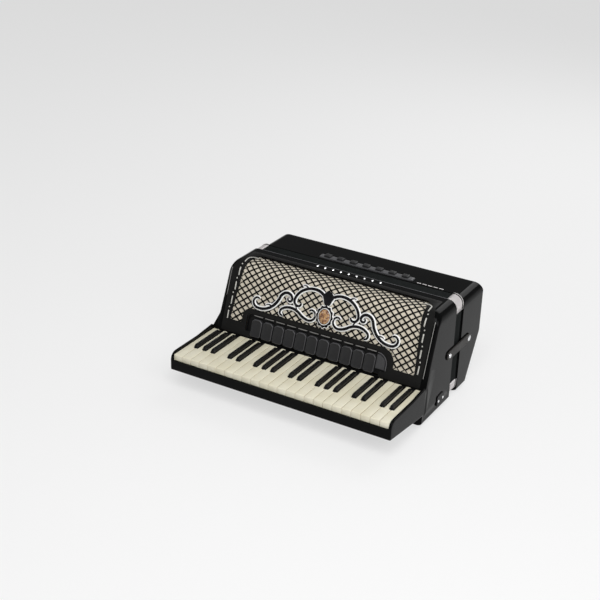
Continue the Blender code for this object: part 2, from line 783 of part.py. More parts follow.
def same_way(places, faces):
    """Every face turned the same way round, seen from outside."""
    turned = []
    for face in faces:
        area = 0.0
        for i, a in enumerate(face):
            b = face[(i + 1) % len(face)]
            area += places[a][0] * places[b][1] - places[b][0] * places[a][1]
        turned.append(tuple(face) if area > 0.0 else tuple(reversed(face)))
    return turned


def recess_edges():
    """X from left to right and run from low to high of the register recess."""
    left = BODY_SHIFT + (RECESS_LEFT - LATTICE_COLUMNS / 2) * DIAMOND_X / 2
    right = BODY_SHIFT + (RECESS_RIGHT - LATTICE_COLUMNS / 2) * DIAMOND_X / 2
    return left, right, lattice_run(0), lattice_run(RECESS_ROWS)


def make_grille_cloth(parent):
    """Cloth stretched behind the grille, cut out round the register bank."""
    weave = finish("grille_cloth", (0.62, 0.52, 0.36), 0.9)
    left, right, _, recess_top = recess_edges()
    margin = SEAT_LEDGE + FIT

    def across(run):
        return [grille_edge(-1, run) + margin, left - FIT, right + FIT, grille_edge(1, run) - margin]

    end_y = RIM_Y - RIM_LEDGE - FIT
    runs = [LATTICE_START, recess_top + FIT]
    runs += [run for run in roll_runs() if grille_point(run, SEAT)[0] < end_y - EASE]
    runs.append(ROLL_END + end_y - ROLL_Y)
    places = [(x, run) for run in runs for x in across(run)]
    wide = len(across(0.0))
    faces = []
    for row in range(len(runs) - 1):
        for column in range(wide - 1):
            if row == 0 and column == 1:
                continue
            a = row * wide + column
            faces.append((a, a + 1, a + wide + 1, a + wide))
    front = [(x, *grille_point(run, SEAT)) for x, run in places]
    back = [(x, *grille_point(run, SEAT + CLOTH_THICK)) for x, run in places]
    piece("grille_cloth", leaf(front, back, faces), weave, parent)


def comb(low, high, floor, bottom, teeth, post, rim):
    """Outline in (along, up) of a bank of tabs on a floor, with an end post at each side up to the rim."""
    outline = [(low, bottom), (high, bottom), (high, rim), (high - post, rim), (high - post, floor)]
    for start, end, top in reversed(teeth):
        outline += [(end, floor), (end, top), (start, top), (start, floor)]
    return outline + [(low + post, floor), (low + post, rim), (low, rim)]


def make_register_bank(parent):
    """Register switches: a row of rocker tabs on their tray, set in the grille's recess."""
    matte = finish("register_tab", (0.02, 0.02, 0.021), 0.5)
    left, right, low, high = recess_edges()
    first = left + TAB_INSET
    teeth = [(first + k * TAB_PITCH, first + k * TAB_PITCH + TAB_WIDTH, TAB_PROUD) for k in range(TABS)]
    outline = comb(left + FIT, right - FIT, -BANK_FLOOR, -BANK_DEEP, teeth, BANK_POST, 0.0)
    rings = []
    for run in (low + FIT, high - FIT):
        rings.append([(x, *grille_point(run, -up)) for x, up in outline])
    piece("register_bank", loft(rings), matte, parent)


def reed_outline(seat, way, base, reach, blocks, low, high):
    """(Y, Z) outline of reed blocks standing on their base board, pointing along Y by way (+1 or -1)."""
    count = round(blocks)
    pitch = (high - low) / count
    outline = [(seat, low), (seat + way * base, low)]
    for k in range(count):
        middle = low + (k + 0.5) * pitch
        start, end = middle - REED_TOOTH / 2, middle + REED_TOOTH / 2
        outline += [(seat + way * base, start), (seat + way * reach, start)]
        outline += [(seat + way * reach, end), (seat + way * base, end)]
    return outline + [(seat + way * base, high), (seat, high)]


def make_reed_chamber(parent, bass):
    """Pallet board across the treble casing, and the reed blocks of both sides."""
    birch = finish("pallet_board", (0.55, 0.40, 0.22), 0.6)
    maple = finish("reed_block", (0.62, 0.47, 0.28), 0.55)
    low = BACK_WALL + FIT
    stack = SEAT + CLOTH_THICK + FIT
    board_top = min(grille_height(BOARD_Y, stack), CREST_Z - TOP_WALL - FIT)
    board = upright(BOARD_Y, BODY_LOW_X + END_WALL + FIT, BODY_HIGH_X - END_WALL - FIT, low, board_top)
    rear = [(x, y + BOARD_THICK, z) for x, y, z in board]
    piece("pallet_board", loft([board, rear]), birch, parent)
    fold_in = BELLOWS_INSET + FOLD_DEPTH + FOLD_SKIN + REED_ROOM
    seat = BOARD_Y + BOARD_THICK + FIT
    block_low, block_high = fold_in, CREST_Z - fold_in
    outline = reed_outline(seat, 1.0, REED_BASE, REED_REACH, TREBLE_REED_BLOCKS, block_low, block_high)
    left, right = BODY_SHIFT - REED_HALF, BODY_SHIFT + REED_HALF
    piece("treble_reed_block", prism(outline, left, right), maple, parent)
    seat = BASS_Y + FIT + BASS_REED_BASE
    reach = BASS_REED_REACH
    points = reed_outline(seat, -1.0, BASS_REED_BASE, reach, BASS_REED_BLOCKS, block_low, block_high)
    floor, roof = BACK_WALL + FIT, BASS_TOP_Z - BASS_WALL - FIT
    points[0], points[1] = (points[0][0], floor), (points[1][0], floor)
    points[-1], points[-2] = (points[-1][0], roof), (points[-2][0], roof)
    piece("bass_reed_block", prism(points, left, right), maple, bass)


def make_bellows(parent):
    """Bellows: one pleated tube between two flat frames, open through the middle."""
    tape = finish("bellows_cloth", (0.02, 0.02, 0.022), 0.6)
    start, end = BELLOWS_Y, BASS_Y - FIT
    fold_start, fold_end = start + FRAME_THICK, end - FRAME_THICK

    def ring(y, sink):
        left, right = BODY_LOW_X + BELLOWS_INSET + sink, BODY_HIGH_X - BELLOWS_INSET - sink
        low, high = BELLOWS_INSET + sink, CREST_Z - BELLOWS_INSET - sink
        c = BELLOWS_CORNER
        centres = ((right - c, high - c), (left + c, high - c), (left + c, low + c), (right - c, low + c))
        points = []
        for quarter, (x, z) in enumerate(centres):
            for k in range(FOLD_CORNER_STEPS + 1):
                turn = math.pi / 2 * (quarter + k / FOLD_CORNER_STEPS)
                points.append((x + c * math.cos(turn), y, z + c * math.sin(turn)))
        return points

    steps = 2 * FOLDS
    path = [(start, 0.0, FRAME_WIDTH)]
    for k in range(steps + 1):
        sink = 0.0 if k % 2 == 0 else FOLD_DEPTH
        skin = FRAME_WIDTH if k in (0, steps) else sink + FOLD_SKIN
        path.append((fold_start + (fold_end - fold_start) * k / steps, sink, skin))
    path.append((end, 0.0, FRAME_WIDTH))
    outer = [ring(y, sink) for y, sink, _ in path]
    inner = [ring(y, skin) for y, _, skin in reversed(path)]
    piece("bellows", loft(outer + inner, closed=True), tape, parent)


def bass_outline():
    """(Y, Z) outline of the bass casing: flat back, slanted button face, upright end, rounded front edge."""
    corner = []
    for k in range(ROLL_STEPS + 1):
        turn = math.pi / 2 * k / ROLL_STEPS
        corner.append((
            BASS_END_Y - BASS_ROUND * (1.0 - math.cos(turn)),
            BASS_TOP_Z - BASS_ROUND * (1.0 - math.sin(turn)),
        ))
    back = [(BASS_Y, 0.0), (BASS_Y + BASS_BACK, 0.0), (BASS_END_Y, BOARD_TOP_Z)]
    return [*back, *corner, (BASS_Y, BASS_TOP_Z)]


# Slanted button face: its foot, its direction up and its outward normal in (Y, Z)
FACE_FOOT = Vector((BASS_Y + BASS_BACK, 0.0))
FACE_EDGE = Vector((BASS_END_Y, BOARD_TOP_Z)) - FACE_FOOT
FACE_UP = FACE_EDGE.normalized()
FACE_OUT = Vector((FACE_UP.y, -FACE_UP.x))
PANEL_HALF_S = FACE_EDGE.length / 2 - PANEL_MARGIN
PANEL_HALF_X = BODY_LENGTH / 2 - BASS_WALL - PANEL_MARGIN


def on_face(x, up, out):
    """A point on the slanted button face: x from the body's middle, up from the face's middle, out of it."""
    place = FACE_FOOT + FACE_EDGE / 2 + FACE_UP * up + FACE_OUT * out
    return BODY_SHIFT + x, place.x, place.y


def face_block(half_x, half_s, low, high):
    """A block square to the slanted button face."""
    corners = ((-half_x, -half_s), (half_x, -half_s), (half_x, half_s), (-half_x, half_s))
    return loft([[on_face(x, s, out) for x, s in corners] for out in (low, high)])


def make_bass_casing(parent):
    """Bass casing: a box open to the bellows, with the button panel's window and the air button's bore."""
    celluloid = finish("bass_celluloid", (0.012, 0.012, 0.014), 0.1)
    outline = bass_outline()
    casing = piece("bass_casing", prism(outline, BODY_LOW_X, BODY_HIGH_X), celluloid, parent)
    soften(casing, parent["place"], end_edge(BASS_Y))
    round_corners(casing, BASS_TOP_Z, BASS_Y, BASS_END_Y, celluloid, parent)
    hollow = inset(outline, BASS_WALL)
    hollow[0] = (BASS_Y - PAST, BACK_WALL)
    hollow[1] = (hollow[1][0], BACK_WALL)
    hollow[-1] = (BASS_Y - PAST, hollow[-1][1])
    cavity = prism(hollow, BODY_LOW_X + BASS_WALL, BODY_HIGH_X - BASS_WALL)
    combine(casing, piece("bass_cavity", cavity, celluloid, parent), "DIFFERENCE")
    window = face_block(PANEL_HALF_X, PANEL_HALF_S, -BASS_WALL - PAST, PAST)
    combine(casing, piece("button_window", window, celluloid, parent), "DIFFERENCE")
    place = (AIR_X, BASS_END_Y, AIR_Z)
    bore = disc(AIR_RADIUS + FIT, ROUND_SIDES, place, "Y", BASS_END_Y - BASS_WALL - PAST, BASS_END_Y + PAST)
    combine(casing, piece("air_bore", bore, celluloid, parent), "DIFFERENCE")


def make_button_panel(parent):
    """Bass button panel: the slanted board with its rows of round-topped buttons in leaning columns."""
    pearl = finish("bass_button", (0.80, 0.78, 0.72), 0.3)
    half_x, half_s = PANEL_HALF_X - FIT, PANEL_HALF_S - FIT
    points, faces, cells = [], [], {}

    def put(x, s, out):
        points.append(on_face(x, s, out))
        return len(points) - 1

    def crossing(column, row):
        if (column, row) not in cells:
            lean = (row - BUTTON_ROWS / 2) * BUTTON_SKEW
            x = (column - BUTTON_COLUMNS / 2) * BUTTON_PITCH + lean
            cells[column, row] = put(x, (row - BUTTON_ROWS / 2) * BUTTON_ROW_STEP, 0.0)
        return cells[column, row]

    def button_ring(column, row, out):
        lean = (row + 0.5 - BUTTON_ROWS / 2) * BUTTON_SKEW
        x = (column + 0.5 - BUTTON_COLUMNS / 2) * BUTTON_PITCH + lean
        s = (row + 0.5 - BUTTON_ROWS / 2) * BUTTON_ROW_STEP
        turns = [2.0 * math.pi * (k + 0.5) / BUTTON_SIDES for k in range(BUTTON_SIDES)]
        return [put(x + BUTTON_RADIUS * math.cos(t), s + BUTTON_RADIUS * math.sin(t), out) for t in turns]

    for column in range(BUTTON_COLUMNS):
        for row in range(BUTTON_ROWS):
            a, b = crossing(column, row), crossing(column + 1, row)
            c, d = crossing(column + 1, row + 1), crossing(column, row + 1)
            foot = button_ring(column, row, 0.0)
            head = button_ring(column, row, BUTTON_RISE)
            faces += [(a, b, foot[5], foot[4], foot[3]), (b, c, foot[0], foot[5])]
            faces += [(c, d, foot[2], foot[1], foot[0]), (d, a, foot[3], foot[2])]
            for k in range(BUTTON_SIDES):
                j = (k + 1) % BUTTON_SIDES
                faces.append((foot[k], foot[j], head[j], head[k]))
            faces.append(tuple(head))
    corners = ((-half_x, -half_s), (half_x, -half_s), (half_x, half_s), (-half_x, half_s))
    rim = [put(x, s, 0.0) for x, s in corners]
    base = [put(x, s, -PANEL_THICK) for x, s in corners]
    low = [crossing(column, 0) for column in range(BUTTON_COLUMNS + 1)]
    high = [crossing(column, BUTTON_ROWS) for column in range(BUTTON_COLUMNS + 1)]
    left = [crossing(0, row) for row in range(BUTTON_ROWS + 1)]
    right = [crossing(BUTTON_COLUMNS, row) for row in range(BUTTON_ROWS + 1)]
    faces += [(rim[0], rim[1], *reversed(low)), (rim[1], rim[2], *reversed(right))]
    faces += [(rim[2], rim[3], *high), (rim[3], rim[0], *left)]
    faces += [(rim[k], rim[(k + 1) % 4], base[(k + 1) % 4], base[k]) for k in range(4)]
    faces.append(tuple(base))
    piece("bass_button_panel", (points, faces), pearl, parent)


def make_bass_strap(parent):
    """Hand strap: a leather band flat on the end plate at both ends and arched away from it between."""
    leather = finish("strap_leather", (0.02, 0.018, 0.016), 0.55)
    flat = STRAP_LENGTH / 2 - STRAP_TAB
    stations = [-STRAP_LENGTH / 2]
    stations += [flat * (2.0 * k / STRAP_STEPS - 1.0) for k in range(STRAP_STEPS + 1)]
    stations.append(STRAP_LENGTH / 2)
    rings = []
    for along in stations:
        rise = STRAP_BULGE * math.cos(math.pi / 2 * min(abs(along) / flat, 1.0)) ** 2
        inner = STRAP_SEAT_Y + rise
        outer = inner + STRAP_THICK
        low, high = STRAP_Z - STRAP_WIDTH / 2, STRAP_Z + STRAP_WIDTH / 2
        x = BODY_SHIFT + along
        rings.append([(x, inner, low), (x, outer, low), (x, outer, high), (x, inner, high)])
    round_off(piece("bass_strap", loft(rings), leather, parent))


def make_bass_fittings(parent):
    """Air button, strap adjusting wheel and bass register bars."""
    chrome = finish("chrome", (0.75, 0.75, 0.76), 0.12, 1.0)
    grey = finish("bass_register", (0.30, 0.30, 0.31), 0.3)
    place = (AIR_X, BASS_END_Y, AIR_Z)
    button = disc(AIR_RADIUS, ROUND_SIDES, place, "Y", BASS_END_Y - AIR_STEM, BASS_END_Y + AIR_PROUD)
    round_off(piece("air_button", button, chrome, parent, place))
    place = (BODY_LOW_X - FIT, BASS_END_Y - WHEEL_INSET_Y, WHEEL_Z)
    wheel = disc(WHEEL_RADIUS, ROUND_SIDES, place, "X", place[0] - WHEEL_THICK, place[0])
    round_off(piece("strap_wheel", wheel, chrome, parent, place))
    seat = BASS_TOP_Z + FIT
    half = BASS_TABS * BASS_TAB_PITCH / 2
    middle = BODY_SHIFT + BASS_TAB_SHIFT
    start = middle - half + (BASS_TAB_PITCH - BASS_TAB_WIDTH) / 2
    bars = []
    for k in range(BASS_TABS):
        left = start + k * BASS_TAB_PITCH
        bars.append((left, left + BASS_TAB_WIDTH, seat + BASS_TAB_RISE))
    low, high = middle - half - BANK_POST, middle + half + BANK_POST
    outline = comb(low, high, seat + BASS_BANK_BASE, seat, bars, BANK_POST / 2, seat + BASS_TAB_RISE)
    front = BASS_Y + BASS_BANK_INSET
    rings = [[(x, y, z) for x, z in outline] for y in (front, front + BASS_BANK_WIDTH)]
    piece("bass_register_bank", loft(rings), grey, parent)


def make_bellows_straps(parent):
    """Two leather straps, riveted to the treble casing's ends, that reach over and hold the bellows shut."""
    leather = finish("lock_leather", (0.02, 0.018, 0.016), 0.5)
    rivet_y = TREBLE_DEPTH - LOCK_RIVET_INSET
    end_y = BASS_Y + LOCK_LAP
    half = LOCK_WIDTH / 2
    turns = [math.pi * k / LOCK_ROUND_STEPS for k in range(LOCK_ROUND_STEPS + 1)]
    outline = [(end_y + half * math.sin(t), LOCK_Z - half * math.cos(t)) for t in turns]
    outline += [(rivet_y - half * math.sin(t), LOCK_Z + half * math.cos(t)) for t in turns]
    for name, face, way in (("low", BODY_LOW_X, -1.0), ("high", BODY_HIGH_X, 1.0)):
        near = face + way * FIT
        strap = prism(outline, near, near + way * LOCK_THICK)
        piece(f"bellows_strap_{name}", strap, leather, parent, (near, rivet_y, LOCK_Z))


clear_scene()
accordion = station("accordion", (0.0, 0.0, 0.0))
accordion.location = (0.0, -CENTRE_Y, 0.0)
bass_side = station("bass_side", BASS_ORIGIN, accordion)
make_treble_casing(accordion)
make_keyboard(accordion)
make_grille(accordion)
make_grille_cloth(accordion)
make_register_bank(accordion)
make_reed_chamber(accordion, bass_side)
make_bellows(accordion)
make_bass_casing(bass_side)
make_button_panel(bass_side)
make_bass_strap(bass_side)
make_bass_fittings(bass_side)
make_bellows_straps(accordion)
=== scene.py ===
"""Looks of a piano accordion that lies on its back with the bellows closed.

Metres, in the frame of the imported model: X runs along the keyboard, Y from the key tips through the
bellows to the bass end, and Z from the player's side to the front.
"""
import math

import bmesh
import bpy
import numpy as np
from mathutils import Matrix, Vector


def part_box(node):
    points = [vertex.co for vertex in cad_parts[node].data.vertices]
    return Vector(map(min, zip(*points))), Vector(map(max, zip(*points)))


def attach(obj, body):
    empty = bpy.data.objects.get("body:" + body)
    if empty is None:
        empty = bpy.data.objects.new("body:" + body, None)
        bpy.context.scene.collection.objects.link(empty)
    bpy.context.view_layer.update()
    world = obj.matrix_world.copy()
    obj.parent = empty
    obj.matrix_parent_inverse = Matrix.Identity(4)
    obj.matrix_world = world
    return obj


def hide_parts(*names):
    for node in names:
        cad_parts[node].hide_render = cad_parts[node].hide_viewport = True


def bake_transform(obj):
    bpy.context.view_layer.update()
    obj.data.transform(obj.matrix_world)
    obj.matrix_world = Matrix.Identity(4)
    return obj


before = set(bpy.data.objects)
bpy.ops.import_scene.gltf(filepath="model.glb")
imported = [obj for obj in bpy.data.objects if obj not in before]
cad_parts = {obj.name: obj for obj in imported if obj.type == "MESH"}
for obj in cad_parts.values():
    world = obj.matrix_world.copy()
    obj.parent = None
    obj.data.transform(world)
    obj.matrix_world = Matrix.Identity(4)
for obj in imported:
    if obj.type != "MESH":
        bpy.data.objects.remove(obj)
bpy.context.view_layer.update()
scene = bpy.context.scene
scene.view_settings.view_transform = "Standard"

# Studio: a wide pale floor under the instrument, one large soft lamp high in front, a smaller one at the
# high-note end and a dim strip behind, with a pale wall all round. The camera looks down on the keyboard.
GRILLE_LO, GRILLE_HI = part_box("treble_grille")
GRILLE_BACK = 0.0128
KEY_LINE = GRILLE_LO.y - GRILLE_BACK
CAMERA_PLACE = (1.0624, KEY_LINE - 1.9145, 1.2533)
CAMERA_TURN = math.radians(29.69)
CAMERA_TILT = math.radians(25.47)
CAMERA_ROLL = math.radians(2.0)
CAMERA_LENS, CAMERA_SENSOR, CAMERA_FAR = 75.12, 36.0, 150.0
FLOOR_HALF, FLOOR_LIFT = 40.0, 0.62
LAMP_AIM = Vector((0.0, 0.0, 0.1))
LAMPS = (
    ("soft_key", (0.75, -1.45, 2.25), 1.6, 43.0),
    ("soft_fill", (1.9, -0.9, 1.5), 1.2, 13.0),
    ("rear_strip", (0.2, 1.9, 1.7), 1.4, 16.0),
)
SKY_LIGHT, WALL_SEEN, WALL_RISE = 0.22, 0.85, 0.16
WHITE = (1.0, 1.0, 1.0, 1.0)


def plug(socket, value):
    """Give a socket a link or a plain value."""
    if isinstance(value, bpy.types.NodeSocket):
        socket.id_data.links.new(value, socket)
    else:
        socket.default_value = value


def feed(made, **inputs):
    """Set a node's inputs by name."""
    for name, value in inputs.items():
        plug(made.inputs[name.replace("_", " ")], value)
    return made


def node(tree, kind, settings=None, **inputs):
    """One shader node: plain settings first, then its inputs by name, each a value or a link."""
    made = tree.nodes.new("ShaderNode" + kind)
    for name, value in (settings or {}).items():
        setattr(made, name, value)
    return feed(made, **inputs)


def computed(operation, *values):
    """A Math node over links and values, in their order; the first is a link."""
    made = node(values[0].id_data, "Math", {"operation": operation})
    for socket, value in zip(made.inputs, values):
        plug(socket, value)
    return made.outputs[0]


def ramp(pattern, dark, light, low=0.0, high=1.0):
    """A colour that goes from dark to light while a pattern goes from low to high."""
    made = node(pattern.id_data, "ValToRGB", Fac=pattern)
    for end, tone, place in zip(made.color_ramp.elements, (dark, light), (low, high)):
        end.color = (*tone, 1.0)
        end.position = place
    return made.outputs["Color"]


def spread(pattern, low, high, start=0.0, stop=1.0):
    """A number that goes from low to high while a pattern goes from start to stop."""
    ends = {"From_Min": start, "From_Max": stop, "To_Min": low, "To_Max": high}
    return node(pattern.id_data, "MapRange", Value=pattern, **ends).outputs["Result"]


def seen_ray(tree):
    """One for what the camera, gloss and glass see, and zero for light that falls on things."""
    path = node(tree, "LightPath").outputs
    direct = computed("MAXIMUM", path["Is Camera Ray"], path["Is Glossy Ray"])
    return computed("MAXIMUM", direct, path["Is Transmission Ray"])


def paper_floor():
    """Pale paper that takes the shadow, lifted towards white for what the camera and gloss see."""
    material = bpy.data.materials.new("paper_floor")
    material.use_nodes = True
    tree = material.node_tree
    tree.nodes.clear()
    grain = node(tree, "TexNoise", Scale=40.0, Detail=3.0).outputs["Fac"]
    matt = node(tree, "BsdfDiffuse", Color=ramp(grain, (0.80, 0.80, 0.80), (0.84, 0.84, 0.84)))
    white = node(tree, "Emission", Color=WHITE, Strength=1.0)
    blend = node(tree, "MixShader", Fac=computed("MULTIPLY", seen_ray(tree), FLOOR_LIFT))
    plug(blend.inputs[1], matt.outputs[0])
    plug(blend.inputs[2], white.outputs[0])
    node(tree, "OutputMaterial", Surface=blend.outputs[0])
    return material


def linked(data, name):
    """A new object of the scene for some data."""
    made = bpy.data.objects.new(name, data)
    scene.collection.objects.link(made)
    return made


def open_mesh(name, points, faces, edges=()):
    """A mesh object from points, faces and loose edges, as they are given."""
    mesh = bpy.data.meshes.new(name)
    mesh.from_pydata(np.asarray(points, float).tolist(), edges, faces)
    return linked(mesh, name)


def rectangle(low, high):
    """Corners of a rectangle, round from its low corner."""
    return [(low[0], low[1]), (high[0], low[1]), (high[0], high[1]), (low[0], high[1])]


floor_corners = np.insert(rectangle((-FLOOR_HALF, -FLOOR_HALF), (FLOOR_HALF, FLOOR_HALF)), 2, 0.0, axis=1)
floor = open_mesh("studio_floor", floor_corners, [(0, 1, 2, 3)])
floor.data.materials.append(paper_floor())

lens = bpy.data.cameras.new("photo_camera")
lens.lens = CAMERA_LENS
lens.sensor_width = CAMERA_SENSOR
lens.clip_end = CAMERA_FAR
camera = linked(lens, "photo_camera")
camera.location = CAMERA_PLACE
look = Matrix.Rotation(CAMERA_TURN, 3, "Z") @ Matrix.Rotation(math.pi / 2 - CAMERA_TILT, 3, "X")
camera.rotation_euler = (look @ Matrix.Rotation(CAMERA_ROLL, 3, "Z")).to_euler()
scene.camera = camera

for lamp_name, place, size, power in LAMPS:
    light = bpy.data.lights.new(lamp_name, "AREA")
    light.size = size
    light.energy = power
    lamp = linked(light, lamp_name)
    lamp.location = place
    lamp.rotation_euler = (LAMP_AIM - lamp.location).to_track_quat("-Z", "Y").to_euler()

world = bpy.data.worlds.new("studio_air")
world.use_nodes = True
scene.world = world
sky = world.node_tree
height = node(sky, "SeparateXYZ", Vector=node(sky, "TexCoord").outputs["Generated"]).outputs["Z"]
wall = spread(height, WALL_SEEN - SKY_LIGHT, 0.0, 0.0, WALL_RISE)
sky_level = computed("MULTIPLY_ADD", seen_ray(sky), wall, SKY_LIGHT)
feed(sky.nodes["Background"], Color=WHITE, Strength=sky_level)

# Treble casing: a box of thin wood covered in polished black celluloid, open to the bellows at its rear.
# Its long edges are rounded at both ends, its front corners flare out to the key cheeks, and the grille
# lies on its slope over an opening cut in it.
BODY_LOW, BODY_HIGH = -0.2315, 0.2425
CREST = GRILLE_HI.z
CASING_FRONT = KEY_LINE + 0.0123
CASING_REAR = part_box("treble_casing")[1].y
FOOT_Y, FOOT_Z, FOOT_STEP = KEY_LINE + GRILLE_BACK, 0.081, 0.001
SLOPE = math.radians(71.0)
ROLL = 0.032
MIDDLE = (GRILLE_LO.x + GRILLE_HI.x) / 2
GRILLE_HALF = (GRILLE_HI.x - GRILLE_LO.x) / 2
CASE_CORNER, PLATE_CORNER = 0.020, 0.012
PLATE_TOP = 0.1993
END_WALL, FACE_WALL, BACK_WALL = 0.016, 0.010, 0.006
MOUTH_EDGE, MOUTH_DEEP, MOUTH_OUT = 0.007, FACE_WALL + 0.002, -0.02
MOUTH_FOOT, MOUTH_TOP, MOUTH_POINTS = 0.0015, PLATE_TOP - 0.009, 60
CUT_PAST = 0.01
SHELF_Z = 0.0745
KEYS_HALF = 0.2403
SLOT_FLOOR, SLOT_TOP, SLOT_OUT, SLOT_DEEP = 0.056, 0.077, 0.03, 0.012
ARM_SLOT_LOW, ARM_SLOT_HIGH, ARM_SLOT_DEEP = -0.2280, KEYS_HALF - 0.004, 0.030
FLARE_LOW, FLARE_HIGH, FLARE_RINGS = 0.0140, 0.0031, 22
FLARE_BACK, FLARE_UP, FLARE_FOOT, FLARE_EASE = 0.049, 0.045, 0.018, 0.010
TREBLE_FILLETS = (0.003, 0.0008, 0.0016, ROLL, 0.001, 0.0008)
TREBLE_SHRINK = (0.35, 0, 1, 0.35, 0.08, 0)
ARC_STEPS = 8


def unit(rows):
    """Each row scaled to length one."""
    return rows / np.maximum(np.linalg.norm(rows, axis=1, keepdims=True), 1e-9)


def rounded(corners, radii, steps=ARC_STEPS):
    """Closed outline with each corner turned into an arc.

    At a corner with half angle h between its edges, the arc of radius r starts r / tan(h) from the corner
    and runs about a centre r / sin(h) along the bisector; its points are even in angle.
    """
    corners = np.asarray(corners, float)
    radii = np.maximum(np.broadcast_to(np.asarray(radii, float), len(corners)), 1e-5)[:, None]
    before = unit(np.roll(corners, 1, 0) - corners)
    after = unit(np.roll(corners, -1, 0) - corners)
    half = np.arccos(np.clip((before * after).sum(1), -1.0, 1.0))[:, None] / 2
    bisector = unit(before + after)
    centre = corners + bisector * radii / np.sin(half)
    swing = (np.pi / 2 - half)[:, None] * np.linspace(-1.0, 1.0, steps + 1)[None, :, None]
    side = unit(after - before)
    arc = -np.cos(swing) * bisector[:, None] + np.sin(swing) * side[:, None]
    return (centre[:, None] + arc * radii[:, None]).reshape(-1, 2)


def left_of(ways):
    """Each way turned a quarter to its left."""
    return np.stack([-ways[:, 1], ways[:, 0]], 1)


def moved_in(corners, distances):
    """Polygon with each edge moved in by its own distance.

    A corner slides along its last edge to the place where its two moved edges cross.
    """
    corners = np.asarray(corners, float)
    edge = unit(np.roll(corners, -1, 0) - corners)
    last_edge = np.roll(edge, 1, 0)
    push = left_of(edge) * np.asarray(distances, float)[:, None]
    last_push = np.roll(push, 1, 0)
    shift = push - last_push
    cross = last_edge[:, 0] * edge[:, 1] - last_edge[:, 1] * edge[:, 0]
    slide = (shift[:, 0] * edge[:, 1] - shift[:, 1] * edge[:, 0]) / cross
    return corners + last_push + last_edge * slide[:, None]


def quads(near, far):
    """Faces between rings of point numbers: each point joins the next one and their two partners."""
    return np.stack([near, np.roll(near, -1, -1), np.roll(far, -1, -1), far], -1).reshape(-1, 4).tolist()


def skin(rings, ends="capped"):
    """Faces over a stack of closed rings: ring k joins ring k + 1 point by point.

    Flat caps close the two ends, or the last ring is joined to the first.
    """
    count, size = rings.shape[:2]
    index = np.arange(count * size).reshape(count, size)
    if ends == "joined":
        faces = quads(index, np.roll(index, -1, 0))
    else:
        faces = quads(index[:-1], index[1:]) + [index[0, ::-1].tolist(), index[-1].tolist()]
    return rings.reshape(-1, 3), faces


def gathered(shapes):
    """Several (points, faces) shapes as one, with the face numbers moved on."""
    points, faces, start = [], [], 0
    for some, rows in shapes:
        points.append(some)
        faces += [[i + start for i in row] for row in rows]
        start += len(some)
    return np.concatenate(points), faces


def solid(name, shape):
    """A mesh object from (points, faces), with its faces turned outwards."""
    made = open_mesh(name, *shape)
    work = bmesh.new()
    work.from_mesh(made.data)
    bmesh.ops.recalc_face_normals(work, faces=work.faces)
    work.to_mesh(made.data)
    work.free()
    return made


def settle(made, materials, body, slot=None, nodes=(), sharp=35.0):
    """Finish a piece: its materials, smooth shading with hard edges kept, its body and CAD nodes. The slot is
    not used.
    """
    for material in materials if isinstance(materials, list) else [materials]:
        made.data.materials.append(material)
    made.data.shade_smooth()
    made.data.set_sharp_from_angle(angle=math.radians(sharp))
    if body:
        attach(made, body)
    if nodes:
        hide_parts(*nodes)
    return made


def piece(name, shape, *finish, **more):
    """A closed shape made into a finished piece."""
    return settle(solid(name, shape), *finish, **more)


def cut(made, cutters):
    """Take closed shapes out of a piece and keep the result as its mesh."""
    tools = [solid(f"{made.name}_cut_{number}", shape) for number, shape in enumerate(cutters)]
    for tool in tools:
        step = made.modifiers.new(tool.name, "BOOLEAN")
        step.operation = "DIFFERENCE"
        step.solver = "EXACT"
        step.object = tool
    graph = bpy.context.evaluated_depsgraph_get()
    result = bpy.data.meshes.new_from_object(made.evaluated_get(graph))
    made.modifiers.clear()
    made.data = result
    for tool in tools:
        bpy.data.objects.remove(tool, do_unlink=True)


def bar(outline, low, high):
    """An outline in (Y, Z) carried straight along X."""
    return skin(np.stack([np.insert(np.asarray(outline, float), 0, x, axis=1) for x in (low, high)]))


def block(low, high):
    """A plain box between two corners."""
    return bar(rectangle(low[1:], high[1:]), low[0], high[0])


def round_ended(corners, radii, weights, low, high, end_round, wave=None, cap_rings=9):
    """A filleted outline in (Y, Z) carried along X, with its edges rolled over at both ends.

    Over the last end_round of X the ring shrinks by end_round * (1 - sin t) while X runs out by
    end_round * cos t, t from 90 degrees to 0; each edge shrinks by its own weight. The end face is the last
    ring drawn in to its middle, and wave(y, z, way) pushes that face out along X.
    """
    weights = np.asarray(weights, float)
    radii = np.broadcast_to(np.asarray(radii, float), len(corners))

    def ring(x, inset):
        flat = rounded(moved_in(corners, weights * inset), np.maximum(radii - inset, 2e-4))
        return np.insert(flat, 0, x, axis=1)

    face = ring(low, end_round)
    middle = face.mean(0)
    rings = [middle + (face - middle) * share for share in np.linspace(0.03, 1.0, cap_rings)[:-1]]
    for turn in np.linspace(0.0, np.pi / 2, ARC_STEPS + 1):
        rings.append(ring(low + end_round * (1.0 - np.cos(turn)), end_round * (1.0 - np.sin(turn))))
    low_side = np.stack(rings)
    high_side = low_side[::-1].copy()
    high_side[..., 0] = low + high - high_side[..., 0]
    if wave:
        for way, side in ((-1, low_side), (1, high_side)):
            side[..., 0] += way * wave(side[..., 1], side[..., 2], way)
    return skin(np.concatenate([low_side, high_side]))


def fresh(name, uv=None):
    """A new node material and where its patterns lie: the piece's own coordinates or a UV map."""
    material = bpy.data.materials.new(name)
    material.use_nodes = True
    tree = material.node_tree
    if uv:
        return material, node(tree, "UVMap", {"uv_map": uv}).outputs["UV"]
    return material, node(tree, "TexCoord").outputs["Object"]


def coat(material, **inputs):
    """Set the inputs of a material's shader."""
    feed(material.node_tree.nodes["Principled BSDF"], **inputs)
    return material


